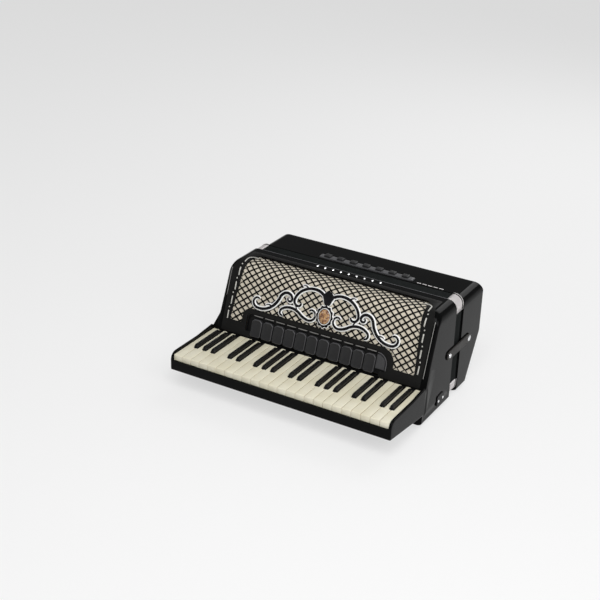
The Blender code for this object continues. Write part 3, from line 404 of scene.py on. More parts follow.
def noise(place, scale, detail, rough=0.5):
    """Cloudy noise from zero to one."""
    inputs = {"Vector": place, "Scale": scale, "Detail": detail, "Roughness": rough}
    return node(place.id_data, "TexNoise", **inputs).outputs["Fac"]


def bump(pattern, strength, distance):
    """A shading normal that a pattern raises and lowers."""
    inputs = {"Height": pattern, "Strength": strength, "Distance": distance}
    return node(pattern.id_data, "Bump", **inputs).outputs["Normal"]


def celluloid():
    """Polished black celluloid: a deep black sheet with faint polishing haze and a very slight ripple."""
    material, place = fresh("black_celluloid")
    haze = noise(place, 14.0, 5.0, 0.6)
    return coat(
        material,
        Base_Color=ramp(haze, (0.0022, 0.0023, 0.0024), (0.0046, 0.0048, 0.0049)),
        Roughness=spread(haze, 0.05, 0.13, 0.3, 0.7),
        Normal=bump(noise(place, 55.0, 2.0), 0.04, 0.002),
        Specular_IOR_Level=0.055,
    )


def stacked(*values):
    """Points from X, Y and Z values of shapes that match."""
    return np.stack(np.broadcast_arrays(*values), -1)


def grille_face(run, sink=0.0):
    """(Y, Z) at a run up the grille's face and a sink into it.

    The face is a straight slope, then an arc of radius ROLL, then flat.
    """
    run = np.asarray(run, float)
    slope_run = (CREST - ROLL * (1.0 - math.cos(SLOPE)) - FOOT_Z) / math.sin(SLOPE)
    turn = np.clip(SLOPE - (run - slope_run) / ROLL, 0.0, SLOPE)
    up = np.minimum(run, slope_run)
    past = np.maximum(run - slope_run - ROLL * SLOPE, 0.0)
    y = FOOT_Y + up * math.cos(SLOPE) + ROLL * (math.sin(SLOPE) - np.sin(turn)) + past
    z = FOOT_Z + up * math.sin(SLOPE) + ROLL * (np.cos(turn) - math.cos(SLOPE))
    return y + sink * np.sin(turn), z - sink * np.cos(turn)


def on_grille(x, run, sink):
    """Points at (x, run) on the grille's face: X straight, Y and Z from the rolled slope."""
    return stacked(x, *grille_face(run, sink))


def plate_half(run):
    """Half width of the grille plate at a run: even, then drawn in by a quarter ellipse near the crest."""
    rise = np.clip(1.0 + (grille_face(run)[1] - CREST) / CASE_CORNER, 0.0, 1.0)
    return GRILLE_HALF - PLATE_CORNER * (1.0 - np.sqrt(1.0 - rise**2))


def shade_evenly(made):
    """Keep broad faces flat in their shading, so that only the rounded edges turn the light."""
    made.modifiers.new("even_shading", "WEIGHTED_NORMAL").keep_sharp = True


def ease(value, start, reach):
    """Zero up to a start and one from a reach later, by the smooth step 3 s^2 - 2 s^3."""
    share = np.clip((value - start) / reach, 0.0, 1.0)
    return share * share * (3.0 - 2.0 * share)


def shoulder_wave(y, z, way):
    """How far the casing's end flares out: an ease from the key cheeks back to the body, fading upwards."""
    rise = np.clip((z - FOOT_Z) / FLARE_UP, 0.0, 1.0)
    near = (1.0 - ease(y, CASING_FRONT, FLARE_BACK)) * (1.0 - rise) ** 2 * ease(z, FLARE_FOOT, FLARE_EASE)
    return (FLARE_LOW if way < 0 else FLARE_HIGH) * near


black_celluloid = celluloid()
treble_corners = [
    (CASING_FRONT, 0.0),
    (CASING_REAR, 0.0),
    (CASING_REAR, CREST),
    (FOOT_Y + (CREST - FOOT_Z) / math.tan(SLOPE), CREST),
    (FOOT_Y, FOOT_Z),
    (CASING_FRONT, FOOT_Z - FOOT_STEP),
]
treble_shell = solid("treble_casing_shell", round_ended(
    treble_corners, TREBLE_FILLETS, TREBLE_SHRINK,
    BODY_LOW, BODY_HIGH, CASE_CORNER, shoulder_wave, FLARE_RINGS,
))
face_runs = np.linspace(MOUTH_TOP, MOUTH_FOOT, MOUTH_POINTS)
hollow = [
    (CASING_FRONT + BACK_WALL, BACK_WALL), (CASING_REAR + CUT_PAST, BACK_WALL),
    (CASING_REAR + CUT_PAST, CREST - FACE_WALL), *np.stack(grille_face(face_runs, FACE_WALL), 1),
    (CASING_FRONT + BACK_WALL, SHELF_Z),
]
mouth_half = plate_half(face_runs) - MOUTH_EDGE
mouth_rings = [
    on_grille(MIDDLE + side * mouth_half, face_runs, sink)
    for side, sink in ((-1, MOUTH_DEEP), (1, MOUTH_DEEP), (1, MOUTH_OUT), (-1, MOUTH_OUT))
]
cut(treble_shell, [
    bar(hollow, BODY_LOW + END_WALL, BODY_HIGH - END_WALL),
    skin(np.stack(mouth_rings, 1)),
    block((-KEYS_HALF, CASING_FRONT - SLOT_OUT, SLOT_FLOOR), (KEYS_HALF, CASING_FRONT + SLOT_DEEP, SLOT_TOP)),
    block((ARM_SLOT_LOW, CASING_FRONT, SLOT_FLOOR), (ARM_SLOT_HIGH, CASING_FRONT + ARM_SLOT_DEEP, SLOT_TOP)),
])
shade_evenly(treble_shell)
settle(treble_shell, black_celluloid, "treble_side", "celluloid", ["treble_casing"])

# Key bed: the shallow black tray under the keys, with a raised cheek at each end and a low lip in front.
# It is wood under celluloid, screwed to the casing from behind. A felted rail and a steel axle lie in it.
BED_LO, BED_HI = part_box("keyboard_bed")
KEY_TOP, KEY_BASE = 0.078, 0.062
CHEEK_TOP = KEY_TOP + 0.004
LIP_TOP, LIP_WALL = KEY_BASE + 0.004, 0.0036
BED_FLOOR, BED_CLEAR = 0.0556, 0.12
BED_FRONT_Z, BED_REAR_Z, BED_REAR_TOP = 0.044, 0.026, 0.0865
CHEEK_BEND = KEY_LINE - 0.042
BED_FILLETS, BED_SHRINK, BED_ROUND = (0.003, 0.001, 0.001, 0.060, 0.016), (1, 0, 1, 1, 1), 0.0022
AXLE_Y = KEY_LINE + 0.00655
RAIL_LOW, RAIL_TOP, RAIL_FRONT = 0.0557, 0.0597, AXLE_Y - 0.004
RAIL_ROUND, RAIL_CLEAR = 0.0005, 0.0005
bed_corners = [
    (BED_LO.y, BED_FRONT_Z),
    (BED_HI.y, BED_REAR_Z),
    (BED_HI.y, BED_REAR_TOP),
    (CHEEK_BEND, CHEEK_TOP),
    (BED_LO.y, CHEEK_TOP),
]
bed = solid("keyboard_bed_shell", round_ended(
    bed_corners, BED_FILLETS, BED_SHRINK, -BED_HI.x, BED_HI.x, BED_ROUND,
))
cut(bed, [
    block((-KEYS_HALF, BED_LO.y + LIP_WALL, BED_FLOOR), (KEYS_HALF, BED_HI.y + CUT_PAST, BED_CLEAR)),
    block((-KEYS_HALF, BED_LO.y - CUT_PAST, LIP_TOP), (KEYS_HALF, BED_LO.y + CUT_PAST, BED_CLEAR)),
])
settle(bed, black_celluloid, "treble_side", "celluloid", ["keyboard_bed"])


def felt():
    """Dark red key felt: short matted wool with a soft sheen."""
    material, place = fresh("key_felt")
    wool = noise(place, 900.0, 4.0)
    tone = ramp(wool, (0.10, 0.010, 0.012), (0.20, 0.022, 0.024))
    return coat(material, Base_Color=tone, Normal=bump(wool, 0.5, 0.0008), Roughness=0.95)


rail = rounded(rectangle((RAIL_FRONT, RAIL_LOW), (BED_HI.y, RAIL_TOP)), RAIL_ROUND, 3)
piece("key_rail", bar(rail, -KEYS_HALF + RAIL_CLEAR, KEYS_HALF - RAIL_CLEAR), felt(), "treble_side")


def drawn_out(place, scale):
    """A place stretched or squeezed along its axes."""
    return node(place.id_data, "Mapping", Vector=place, Scale=scale).outputs["Vector"]


def steel():
    """Drawn steel rod: long fine streaks along X."""
    material, place = fresh("drawn_steel")
    streak = noise(drawn_out(place, (6.0, 900.0, 900.0)), 1.0, 3.0)
    tone = (0.55, 0.55, 0.56, 1.0)
    return coat(material, Base_Color=tone, Roughness=spread(streak, 0.2, 0.45), Metallic=1.0)


def paint_solid(name, material):
    """Give a solid that is shown as it is a material."""
    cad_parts[name].data.materials.clear()
    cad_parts[name].data.materials.append(material)


paint_solid("key_axle", steel())

# Keys: each is a strip of light wood with a moulded plastic top, hooked over the steel axle. Behind the
# axle its arm runs under the grille to its pallet. White keys have thin caps, black ones solid tops.
KEY_PITCH, KEY_GAP = 0.020, 0.0008
KEY_HALF = (KEY_PITCH - KEY_GAP) / 2
WHITE_KEYS = 24
BLACK_AFTER = (0, 1, 2, 4, 5)
WHITE_TIP, BLACK_TIP = KEY_LINE - 0.128, KEY_LINE - 0.082
KEY_TAIL = KEY_LINE + 0.012
BLACK_TOP = KEY_TOP + 0.0065
BLACK_BASE_HALF, BLACK_TOP_HALF = 0.00475, 0.0035
BLACK_SLANT, BLACK_NOSE = 0.006, KEY_TOP - 0.001
NOTCH_HALF = KEY_PITCH / 2 - BLACK_BASE_HALF - KEY_GAP
NECK = BLACK_TIP - KEY_GAP
NOSE = 0.0022
CAP_DEPTH, WHITE_FLAT = 0.0042, 0.030
KEY_ROUND, BLACK_ROUND, ARM_ROUND = 0.0009, 0.0016, 0.0006
SECTION_STEP = 0.001
AXLE_GROOVE = 0.0032
ARM_HALF, ARM_Z = 0.0025, KEY_TOP - 0.008
ARM_CRANK, ARM_BEND = KEY_LINE + 0.045, 0.67
WHITE_PALLET_Z, BLACK_PALLET_Z = KEY_TOP - 0.003, KEY_TOP + 0.025
PALLET_FRONT, PALLET_REAR = KEY_LINE + 0.0610, KEY_LINE + 0.0680
PALLET_HALF, PALLET_TALL = 0.0074, 0.011
PALLET_SHIFT, PALLET_SPREAD = 0.0055, 0.221 / 0.240


def key_plastic(name, dark, light, rough, speckle, shine=0.5):
    """Moulded key plastic: an even body colour with faint clouding and finger wear in its gloss."""
    material, place = fresh(name)
    return coat(
        material,
        Base_Color=ramp(noise(place, 22.0, 4.0), dark, light, 0.3, 0.7),
        Roughness=spread(noise(place, speckle, 3.0), rough * 0.7, rough * 1.4),
        Specular_IOR_Level=shine,
    )


def waves(place, direction, scale, **inputs):
    """Even bands across a direction, from zero to one."""
    settings = {"bands_direction": direction}
    return node(place.id_data, "TexWave", settings, Vector=place, Scale=scale, **inputs).outputs["Fac"]


def wood(name, dark, light, ring, stretch):
    """Planed wood: growth rings as bands bent by noise, drawn out along the grain, with fine pores."""
    material, place = fresh(name)
    grain = drawn_out(place, stretch)
    bands = waves(grain, "DIAGONAL", ring, Distortion=5.0, Detail=3.0)
    pores = bump(noise(grain, ring * 14.0, 3.0), 0.2, 0.0006)
    return coat(material, Base_Color=ramp(bands, dark, light), Normal=pores, Roughness=0.55)


def tube(stations, radii, steps=4):
    """Rings of filleted rectangles along Y: each station is (y, left, right, low, high)."""
    rings = []
    for (y, left, right, low, high), radius in zip(stations, radii):
        flat = rounded(rectangle((left, low), (right, high)), radius, steps)
        rings.append(np.insert(flat, 1, y, axis=1))
    return np.stack(rings)


def key_action(x, left, right, pallet_z):
    """Stations of a key behind its finger piece: groove over the axle, tail, cranked arm, pallet."""
    aim = PALLET_SHIFT + x * PALLET_SPREAD

    def square(y, middle, z, half=ARM_HALF, tall=ARM_HALF):
        return y, middle - half, middle + half, z - tall, z + tall

    return [
        (AXLE_Y - AXLE_GROOVE, left, right, KEY_BASE, KEY_TOP),
        (AXLE_Y, left, right, KEY_BASE + AXLE_GROOVE, KEY_TOP),
        (AXLE_Y + AXLE_GROOVE, left, right, KEY_BASE, KEY_TOP),
        (KEY_TAIL, left, right, KEY_BASE, KEY_TOP),
        square(KEY_TAIL + SECTION_STEP, x, ARM_Z),
        square(ARM_CRANK, x + (aim - x) * ARM_BEND, ARM_Z),
        square(PALLET_FRONT - SECTION_STEP, aim, pallet_z),
        square(PALLET_FRONT, aim, pallet_z, PALLET_HALF, PALLET_TALL),
        square(PALLET_REAR, aim, pallet_z, PALLET_HALF, PALLET_TALL),
    ]


def key_piece(colour, number, rings, height, plastic):
    """A finished key: plastic on its front and above a height, wood below and behind."""
    body = f"{colour}_key_{number + 1:02d}"
    key = solid(f"{colour}_key_top_{number + 1:02d}", skin(rings))
    centres = np.empty(len(key.data.polygons) * 3)
    key.data.polygons.foreach_get("center", centres)
    y, z = centres.reshape(-1, 3)[:, 1:].T
    wooden = ((z < height) & (y > WHITE_TIP + KEY_GAP)) | (y > KEY_TAIL)
    key.data.polygons.foreach_set("material_index", wooden.astype(np.int32))
    settle(key, [plastic, key_wood], body, f"{colour}_key", [body])


ivory = key_plastic("ivory_plastic", (0.78, 0.73, 0.55), (0.86, 0.82, 0.66), 0.22, 90.0)
ebony = key_plastic("ebony_plastic", (0.005, 0.005, 0.0052), (0.009, 0.009, 0.0095), 0.24, 120.0, 0.2)
key_wood = wood("key_lime_wood", (0.46, 0.33, 0.18), (0.60, 0.45, 0.26), 26.0, (1.0, 0.12, 1.0))
white_x = (np.arange(WHITE_KEYS) + 0.5) * KEY_PITCH - WHITE_KEYS * KEY_PITCH / 2
has_black = np.isin(np.arange(WHITE_KEYS) % 7, BLACK_AFTER)
has_black[-1] = False
nose_turn = np.linspace(np.pi / 2, 0.0, 6)
nose_y = WHITE_TIP + NOSE * (1.0 - np.sin(nose_turn))
nose_z = KEY_TOP - NOSE * (1.0 - np.cos(nose_turn))
white_front = [*zip(nose_y, nose_z), (WHITE_TIP + WHITE_FLAT, KEY_TOP), (NECK - KEY_GAP, KEY_TOP)]
for number, x in enumerate(white_x):
    left = x - (NOTCH_HALF if number > 0 and has_black[number - 1] else KEY_HALF)
    right = x + (NOTCH_HALF if has_black[number] else KEY_HALF)
    stations = [(y, x - KEY_HALF, x + KEY_HALF, KEY_BASE, top) for y, top in white_front]
    stations += [(NECK, left, right, KEY_BASE, KEY_TOP), *key_action(x, left, right, WHITE_PALLET_Z)]
    rings = tube(stations, [KEY_ROUND] * (len(stations) - 5) + [ARM_ROUND] * 5)
    key_piece("white", number, rings, KEY_TOP - CAP_DEPTH, ivory)

slant = np.linspace(0.0, 1.0, 7)
black_front = np.stack([
    BLACK_TIP + BLACK_SLANT * slant,
    BLACK_NOSE + (BLACK_TOP - BLACK_NOSE) * np.sin(slant * np.pi / 2),
], 1)
for number, white in enumerate(np.flatnonzero(has_black)):
    x = white_x[white] + KEY_PITCH / 2
    top_left, top_right = x - BLACK_TOP_HALF, x + BLACK_TOP_HALF
    stations = [
        (y, x - BLACK_BASE_HALF, x + BLACK_BASE_HALF, KEY_BASE, top)
        for y, top in (*black_front, (KEY_LINE - SECTION_STEP, BLACK_TOP))
    ]
    stations += [(KEY_LINE, top_left, top_right, KEY_BASE, KEY_TOP)]
    stations += key_action(x, top_left, top_right, BLACK_PALLET_Z)
    rings = tube(stations, [BLACK_ROUND] * 8 + [ARM_ROUND] * 10)
    upper = np.clip((rings[..., 2] - KEY_TOP) / (BLACK_TOP - KEY_TOP), 0.0, 1.0)
    slim = 1.0 - (1.0 - BLACK_TOP_HALF / BLACK_BASE_HALF) * upper
    rings[..., 0] = x + (rings[..., 0] - x) * np.where(rings[..., 1] < KEY_LINE, slim, 1.0)
    key_piece("black", number, rings, KEY_BASE + SECTION_STEP, ebony)

# Grille cloth: a fine cream cloth stretched behind the lattice and glued round its edge, cut higher over the
# register recess. Its weave shows as a close, even grain in every opening.
RECESS_LOW, RECESS_HIGH = -0.1655, 0.1585
RECESS_TOP = 0.0487
EDGE_CLEAR = 0.0035
CLOTH_SINK, CLOTH_EDGE = 0.0022, 0.015
CLOTH_STEP_OUT, CLOTH_STEP_LONG = 0.010, 0.008
CLOTH_LOW, CLOTH_TOP = 0.012, 0.184
CLOTH_ROWS, CLOTH_COLUMNS = 61, 241
THREAD_SCALE = 420.0


def patch(rows, columns):
    """Faces of an open grid of points, row by row."""
    index = np.arange(rows * columns).reshape(rows, columns)
    corners = [index[:-1, :-1], index[:-1, 1:], index[1:, 1:], index[1:, :-1]]
    return np.stack(corners, -1).reshape(-1, 4).tolist()


def lay_uv(made, across, along):
    """A UV map in metres from two values for each vertex."""
    corner = np.empty(len(made.data.loops), np.int32)
    made.data.loops.foreach_get("vertex_index", corner)
    flat = np.stack([across, along], -1)[corner]
    made.data.uv_layers.new(name="flat").data.foreach_set("uv", flat.ravel())


def weave(name, dark, light, scale):
    """Woven cloth: two sets of fine bands across each other, raised as threads, with slow patches of tone."""
    material, place = fresh(name, "flat")
    thread = computed("MULTIPLY", waves(place, "X", scale), waves(place, "Y", scale))
    mixed = computed("MULTIPLY_ADD", noise(place, 60.0, 4.0), 0.6, thread)
    return coat(
        material,
        Base_Color=ramp(mixed, dark, light),
        Normal=bump(thread, 0.3, 0.0003),
        Roughness=0.8,
        Sheen_Weight=0.15,
    )


def cloth_foot(x):
    """Lower edge of the cloth: low at both ends, lifted over the register recess by smooth steps."""
    rise = ease(x, RECESS_LOW - CLOTH_STEP_OUT, CLOTH_STEP_LONG)
    fall = ease(-x, -RECESS_HIGH - CLOTH_STEP_OUT, CLOTH_STEP_LONG)
    return CLOTH_LOW + (RECESS_TOP + EDGE_CLEAR - CLOTH_LOW) * rise * fall


cloth_x = np.linspace(GRILLE_LO.x + CLOTH_EDGE, GRILLE_HI.x - CLOTH_EDGE, CLOTH_COLUMNS)[None, :]
cloth_share = np.linspace(0.0, 1.0, CLOTH_ROWS)[:, None]
cloth_run = cloth_foot(cloth_x) + (CLOTH_TOP - cloth_foot(cloth_x)) * cloth_share
cloth_points = on_grille(cloth_x, cloth_run, CLOTH_SINK).reshape(-1, 3)
cloth = open_mesh("grille_cloth_sheet", cloth_points, patch(CLOTH_ROWS, CLOTH_COLUMNS))
lay_uv(cloth, np.broadcast_to(cloth_x, cloth_run.shape).ravel(), cloth_run.ravel())
cream_weave = weave("cream_weave", (0.60, 0.54, 0.43), (0.78, 0.72, 0.60), THREAD_SCALE)
settle(cloth, cream_weave, "treble_side", "grille_cloth", ["grille_cloth"])

# Grille: one sheet of metal, pressed to a slope with a rolled top, pierced in a close diamond lattice and
# lacquered black. The plain border round the lattice is a second, smoother sheet laid over its edge.
DIAMOND_X, DIAMOND_RUN = 0.018, 0.0149
LATTICE_COLUMNS, LATTICE_ROWS = 46, 26
LATTICE_START = 0.004
HOLE, HOLE_EDGE, HOLE_DROP = 0.715, 0.035, 0.0003
LATTICE_SINK, LATTICE_THICK = 0.0010, 0.0007
FRAME_THICK, FRAME_ROUND = 0.0012, 0.0004
PLATE_LIFT = 0.0012
TONGUE_LOW, TONGUE_HIGH = -0.150, 0.143
TONGUE_RUN = 0.0115
WINDOW_LOW_RUN, WINDOW_HIGH_RUN, WINDOW_TOP = 0.026, 0.022, 0.187
WINDOW_FOOT_HALF, WINDOW_TOP_HALF = 0.2110, 0.1960
WINDOW_STEP, WINDOW_SILL = 0.0115, 0.0585
SIDE_OVERLAP, SILL_OVERLAP = 0.4, 0.3
ROLL_CUTS = np.linspace(0.118, 0.168, 21)
PLATE_SIDE, PLATE_CHAMFER = np.linspace(0.110, 0.166, 29), 0.002


def thicken(made, thick):
    """Give an open sheet its thickness, below its face."""
    made.modifiers.new("thickness", "SOLIDIFY").thickness = thick


def onto_grille(made, sink):
    """Bend a flat mesh laid out in (x, run) onto the grille's face; its own height stands out from it."""
    flat = np.empty(len(made.data.vertices) * 3)
    made.data.vertices.foreach_get("co", flat)
    x, run, rise = flat.reshape(-1, 3).T
    made.data.vertices.foreach_set("co", on_grille(x, run, sink - rise).ravel())
    made.data.update()


def sheet_metal(name, loops, sink, thick, round_edge):
    """A thin piece on the grille: loops in (x, run) filled flat, cut across the roll, bent and thickened."""
    edges, start = [], 0
    for loop in loops:
        index = np.arange(len(loop))
        edges += (np.stack([index, np.roll(index, -1)], 1) + start).tolist()
        start += len(loop)
    flat = np.concatenate(loops)
    made = open_mesh(name, np.insert(flat, 2, 0.0, axis=1), [], edges)
    work = bmesh.new()
    work.from_mesh(made.data)
    bmesh.ops.triangle_fill(work, use_beauty=True, edges=work.edges[:], normal=(0.0, 0.0, 1.0))
    bmesh.ops.recalc_face_normals(work, faces=work.faces)
    work.normal_update()
    if sum(face.normal.z for face in work.faces) < 0.0:
        bmesh.ops.reverse_faces(work, faces=work.faces)
    for run in ROLL_CUTS[(ROLL_CUTS > flat[:, 1].min()) & (ROLL_CUTS < flat[:, 1].max())]:
        every = work.verts[:] + work.edges[:] + work.faces[:]
        bmesh.ops.bisect_plane(work, geom=every, plane_co=(0.0, run, 0.0), plane_no=(0.0, 1.0, 0.0))
    work.to_mesh(made.data)
    work.free()
    onto_grille(made, sink)
    thicken(made, thick)
    if round_edge:
        edge = made.modifiers.new("edge", "BEVEL")
        edge.width = round_edge
        edge.segments = 2
        edge.limit_method = "ANGLE"
        edge.angle_limit = math.radians(50.0)
    return made


def lacquer(name, dark, light, rough, shine=0.13):
    """Satin lacquer on metal: near black, with a fine sprayed grain that breaks up the gloss."""
    material, place = fresh(name)
    cloud = noise(place, 30.0, 4.0)
    return coat(
        material,
        Base_Color=ramp(cloud, dark, light),
        Normal=bump(noise(place, 1800.0, 2.0), 0.12, 0.0003),
        Roughness=spread(cloud, rough * 0.85, rough * 1.15),
        Specular_IOR_Level=shine,
    )


def window_half(run):
    """Half width of the lattice window at a run: it narrows a little from foot to top."""
    share = np.clip(run / WINDOW_TOP, 0.0, 1.0)
    return WINDOW_FOOT_HALF + (WINDOW_TOP_HALF - WINDOW_FOOT_HALF) * share


def lattice_sheet():
    """Flat lattice: each diamond cell is three rings of eight points, from the cell's edge to its hole."""
    half_x, half_run = DIAMOND_X / 2, DIAMOND_RUN / 2
    column, row = np.meshgrid(np.arange(LATTICE_COLUMNS + 1), np.arange(LATTICE_ROWS + 1))
    x = MIDDLE + (column - LATTICE_COLUMNS / 2) * half_x
    run = LATTICE_START + row * half_run
    sill = np.where(x < RECESS_LOW - EDGE_CLEAR, WINDOW_LOW_RUN, RECESS_TOP + 2 * EDGE_CLEAR)
    sill = np.where(x > RECESS_HIGH + EDGE_CLEAR, WINDOW_HIGH_RUN, sill)
    kept = ((column + row) % 2 == 0) & (np.abs(x - MIDDLE) < window_half(run) + half_x * SIDE_OVERLAP)
    kept &= (run > sill - half_run * SILL_OVERLAP) & (run < WINDOW_TOP + half_run)
    turn = np.arange(8) * np.pi / 4
    reach = np.abs(np.cos(turn)) + np.abs(np.sin(turn))
    scale = np.array([1.0, HOLE + HOLE_EDGE, HOLE])[:, None]
    drop = np.array([0.0, 0.0, -HOLE_DROP])[:, None]
    cell = stacked(np.cos(turn) / reach * half_x * scale, np.sin(turn) / reach * half_run * scale, drop)
    centre = stacked(x[kept], run[kept], 0.0)
    points = (centre[:, None, None, :] + cell).reshape(-1, 3)
    index = np.arange(len(points)).reshape(-1, 3, 8)
    return points, quads(index[:, :-1], index[:, 1:])


lattice = open_mesh("grille_lattice", *lattice_sheet())
lattice_work = bmesh.new()
lattice_work.from_mesh(lattice.data)
bmesh.ops.remove_doubles(lattice_work, verts=lattice_work.verts, dist=1e-5)
lattice_work.to_mesh(lattice.data)
lattice_work.free()
onto_grille(lattice, LATTICE_SINK)
thicken(lattice, LATTICE_THICK)
lattice_black = lacquer("lattice_lacquer", (0.006, 0.0055, 0.0045), (0.011, 0.010, 0.0085), 0.38)
settle(lattice, lattice_black, "treble_side", "grille_metal", ["treble_grille"])

plate_loop = rounded(
    [
        (GRILLE_LO.x, 0.0), (TONGUE_LOW, 0.0), (TONGUE_LOW, TONGUE_RUN), (RECESS_LOW, TONGUE_RUN),
        (RECESS_LOW, RECESS_TOP), (RECESS_HIGH, RECESS_TOP), (RECESS_HIGH, TONGUE_RUN),
        (TONGUE_HIGH, TONGUE_RUN), (TONGUE_HIGH, 0.0), (GRILLE_HI.x, 0.0), (GRILLE_HI.x, PLATE_TOP),
        (GRILLE_LO.x, PLATE_TOP),
    ],
    [0.004, 0.001, 0.002, 0.003, 0.010, 0.024, 0.004, 0.002, 0.001, 0.004, 0.004, 0.004],
)
side_runs = np.concatenate([PLATE_SIDE, [PLATE_TOP - PLATE_CHAMFER, PLATE_TOP]])
side_half = plate_half(side_runs)
side_half[-1] -= PLATE_CHAMFER
top_corners = 2 * (ARC_STEPS + 1)
plate_loop = np.concatenate([
    plate_loop[:-top_corners],
    np.stack([MIDDLE + side_half, side_runs], 1),
    np.stack([MIDDLE - side_half, side_runs], 1)[::-1],
])
window_loop = rounded(
    [
        (MIDDLE - WINDOW_FOOT_HALF, WINDOW_LOW_RUN), (RECESS_LOW - WINDOW_STEP, WINDOW_LOW_RUN),
        (RECESS_LOW - WINDOW_STEP, WINDOW_SILL), (RECESS_HIGH + WINDOW_STEP, WINDOW_SILL),
        (RECESS_HIGH + WINDOW_STEP, WINDOW_HIGH_RUN), (MIDDLE + WINDOW_FOOT_HALF, WINDOW_HIGH_RUN),
        (MIDDLE + WINDOW_TOP_HALF, WINDOW_TOP), (MIDDLE - WINDOW_TOP_HALF, WINDOW_TOP),
    ],
    [0.004, 0.004, 0.018, 0.030, 0.004, 0.004, 0.014, 0.014],
)
border = sheet_metal("treble_grille_frame", [plate_loop, window_loop], -PLATE_LIFT, FRAME_THICK, FRAME_ROUND)
border_black = lacquer("border_lacquer", (0.010, 0.010, 0.0098), (0.015, 0.0148, 0.0144), 0.40, 0.06)
settle(border, border_black, "treble_side", "grille_metal", ["treble_grille"])

# Border marks: pale inlaid dashes and dots down both sides of the lattice, the top one bent round the corner.
# They are thin pearl strips set in the lacquered border, a quarter of a millimetre proud of it.
MARK_WIDTH, MARK_THICK, MARK_PROUD = 0.0027, 0.0006, 0.00025
MARK_OUT = 0.0088
DASHES = 4
DASH_LONG, DASH_STEP, DASH_START = 0.0175, 0.0310, 0.0340
DOT_LONG = 0.0006
BEND_RADIUS, BEND_RISE, BEND_REACH = 0.010, 0.004, 0.019


def stroke(path, half, cap=6):
    """Outline of a band along a path of (x, run) points: both sides at half its width, with round ends."""
    path = np.asarray(path, float)
    way = unit(np.gradient(path, axis=0))
    side = left_of(way)
    swing = np.linspace(0.0, np.pi, cap + 2)[1:-1, None]
    end = path[-1] + half * (side[-1] * np.cos(swing) + way[-1] * np.sin(swing))
    start = path[0] - half * (side[0] * np.cos(swing) + way[0] * np.sin(swing))
    return np.concatenate([path + side * half, end, (path - side * half)[::-1], start])[::-1]


def cells(place, scale, settings=None):
    """Rounded cells, as the distance from their middles."""
    return node(place.id_data, "TexVoronoi", settings, Vector=place, Scale=scale).outputs["Distance"]


def pearl():
    """Pearl inlay: pale, slightly clouded and softly shining."""
    material, place = fresh("pearl_inlay")
    tone = ramp(cells(place, 260.0), (0.46, 0.45, 0.42), (0.66, 0.65, 0.60))
    return coat(material, Base_Color=tone, Roughness=0.3)


pearl_white = pearl()
half_dash = (DASH_LONG - MARK_WIDTH) / 2
quarter = np.linspace(0.0, np.pi / 2, 9)
mark_paths = []
for way in (-1, 1):
    for run in DASH_START + np.arange(DASHES + 1) * DASH_STEP:
        x = MIDDLE + way * (window_half(run) + MARK_OUT)
        mark_paths.append([(x, run - half_dash), (x, run + half_dash)])
        mark_paths.append([(x, run + DASH_STEP / 2), (x, run + DASH_STEP / 2 + DOT_LONG)])
    bend_x = x - way * BEND_RADIUS * (1 - np.cos(quarter))
    bend = np.stack([bend_x, run + BEND_RISE + BEND_RADIUS * np.sin(quarter)], 1)
    bend_end = (x - way * BEND_REACH, run + BEND_RISE + BEND_RADIUS)
    mark_paths[-2:] = [np.concatenate([[(x, run - half_dash)], bend, [bend_end]])]
for number, path in enumerate(mark_paths):
    loop = stroke(path, MARK_WIDTH / 2)
    mark = sheet_metal(f"border_mark_{number + 1:02d}", [loop], -PLATE_LIFT - MARK_PROUD, MARK_THICK, 0.0)
    settle(mark, pearl_white, "treble_side")

# Register switches: eleven matte black rockers in a shallow tray under the lattice, with short bright trim
# strips along its top. Each rocker has a rounded head, a bevelled edge and a slightly hollow face.
TABS = 11
TAB_PITCH, TAB_WIDTH, TAB_FIRST = 0.026, 0.0232, -0.1405
TAB_FOOT, TAB_HEAD = 0.0030, 0.0395
TAB_CORNER, TAB_FOOT_CORNER = 0.0050, 0.003
TAB_PROUD = 0.0020
TRAY_SINK, TRAY_LIP, TRAY_BACK = 0.0066, 0.0012, 0.0115
TRAY_CLEAR, TRAY_FOOT = 0.0004, 0.0045
TRIM_HALF, TRIM_LONG, TRIM_DROP = 0.0007, 0.0095, 0.0022
SWEEP_RADIUS, SWEEP_IN, SWEEP_EDGE = 0.0215, 0.0245, 0.0030
LINE_PROUD, LINE_THICK, LINE_ROUND = 0.0004, 0.0010, 0.0003
PANEL_FOOT, PANEL_HEAD = 0.0140, RECESS_TOP - 0.0066
PANEL_LOW = TAB_FIRST + (TABS - 1) * TAB_PITCH + TAB_WIDTH / 2 + 0.0018
PANEL_HIGH = RECESS_HIGH - 0.0062


def matte_plastic(name, tone, rough):
    """Matte switch plastic: dark grey with a fine moulded grain."""
    material, place = fresh(name)
    grain = noise(place, 1400.0, 3.0)
    dark, light = [tone * s for s in (0.8, 0.8, 0.85)], [tone * s for s in (1.2, 1.2, 1.25)]
    return coat(
        material,
        Base_Color=ramp(grain, dark, light),
        Normal=bump(grain, 0.25, 0.0003),
        Roughness=rough,
        Specular_IOR_Level=0.3,
    )


def plated(name, tone, smooth, rough, metal=1.0, marks=(120.0, 3.0)):
    """Plated metal with a trace of wipe marks in its gloss."""
    material, place = fresh(name)
    gloss = spread(noise(place, *marks), smooth, rough)
    return coat(material, Base_Color=(*tone, 1.0), Roughness=gloss, Metallic=metal)


def pad(place, loop, levels, ends="capped"):
    """A loop drawn in about its middle by each level's share, and placed at each level's height."""
    middle = loop.mean(0)
    rings = [place(*(middle + (loop - middle) * share).T, height) for share, height in levels]
    return skin(np.stack(rings), ends)


def turned(angles):
    """Unit steps at some angles from the first axis."""
    return np.stack([np.cos(angles), np.sin(angles)], 1)


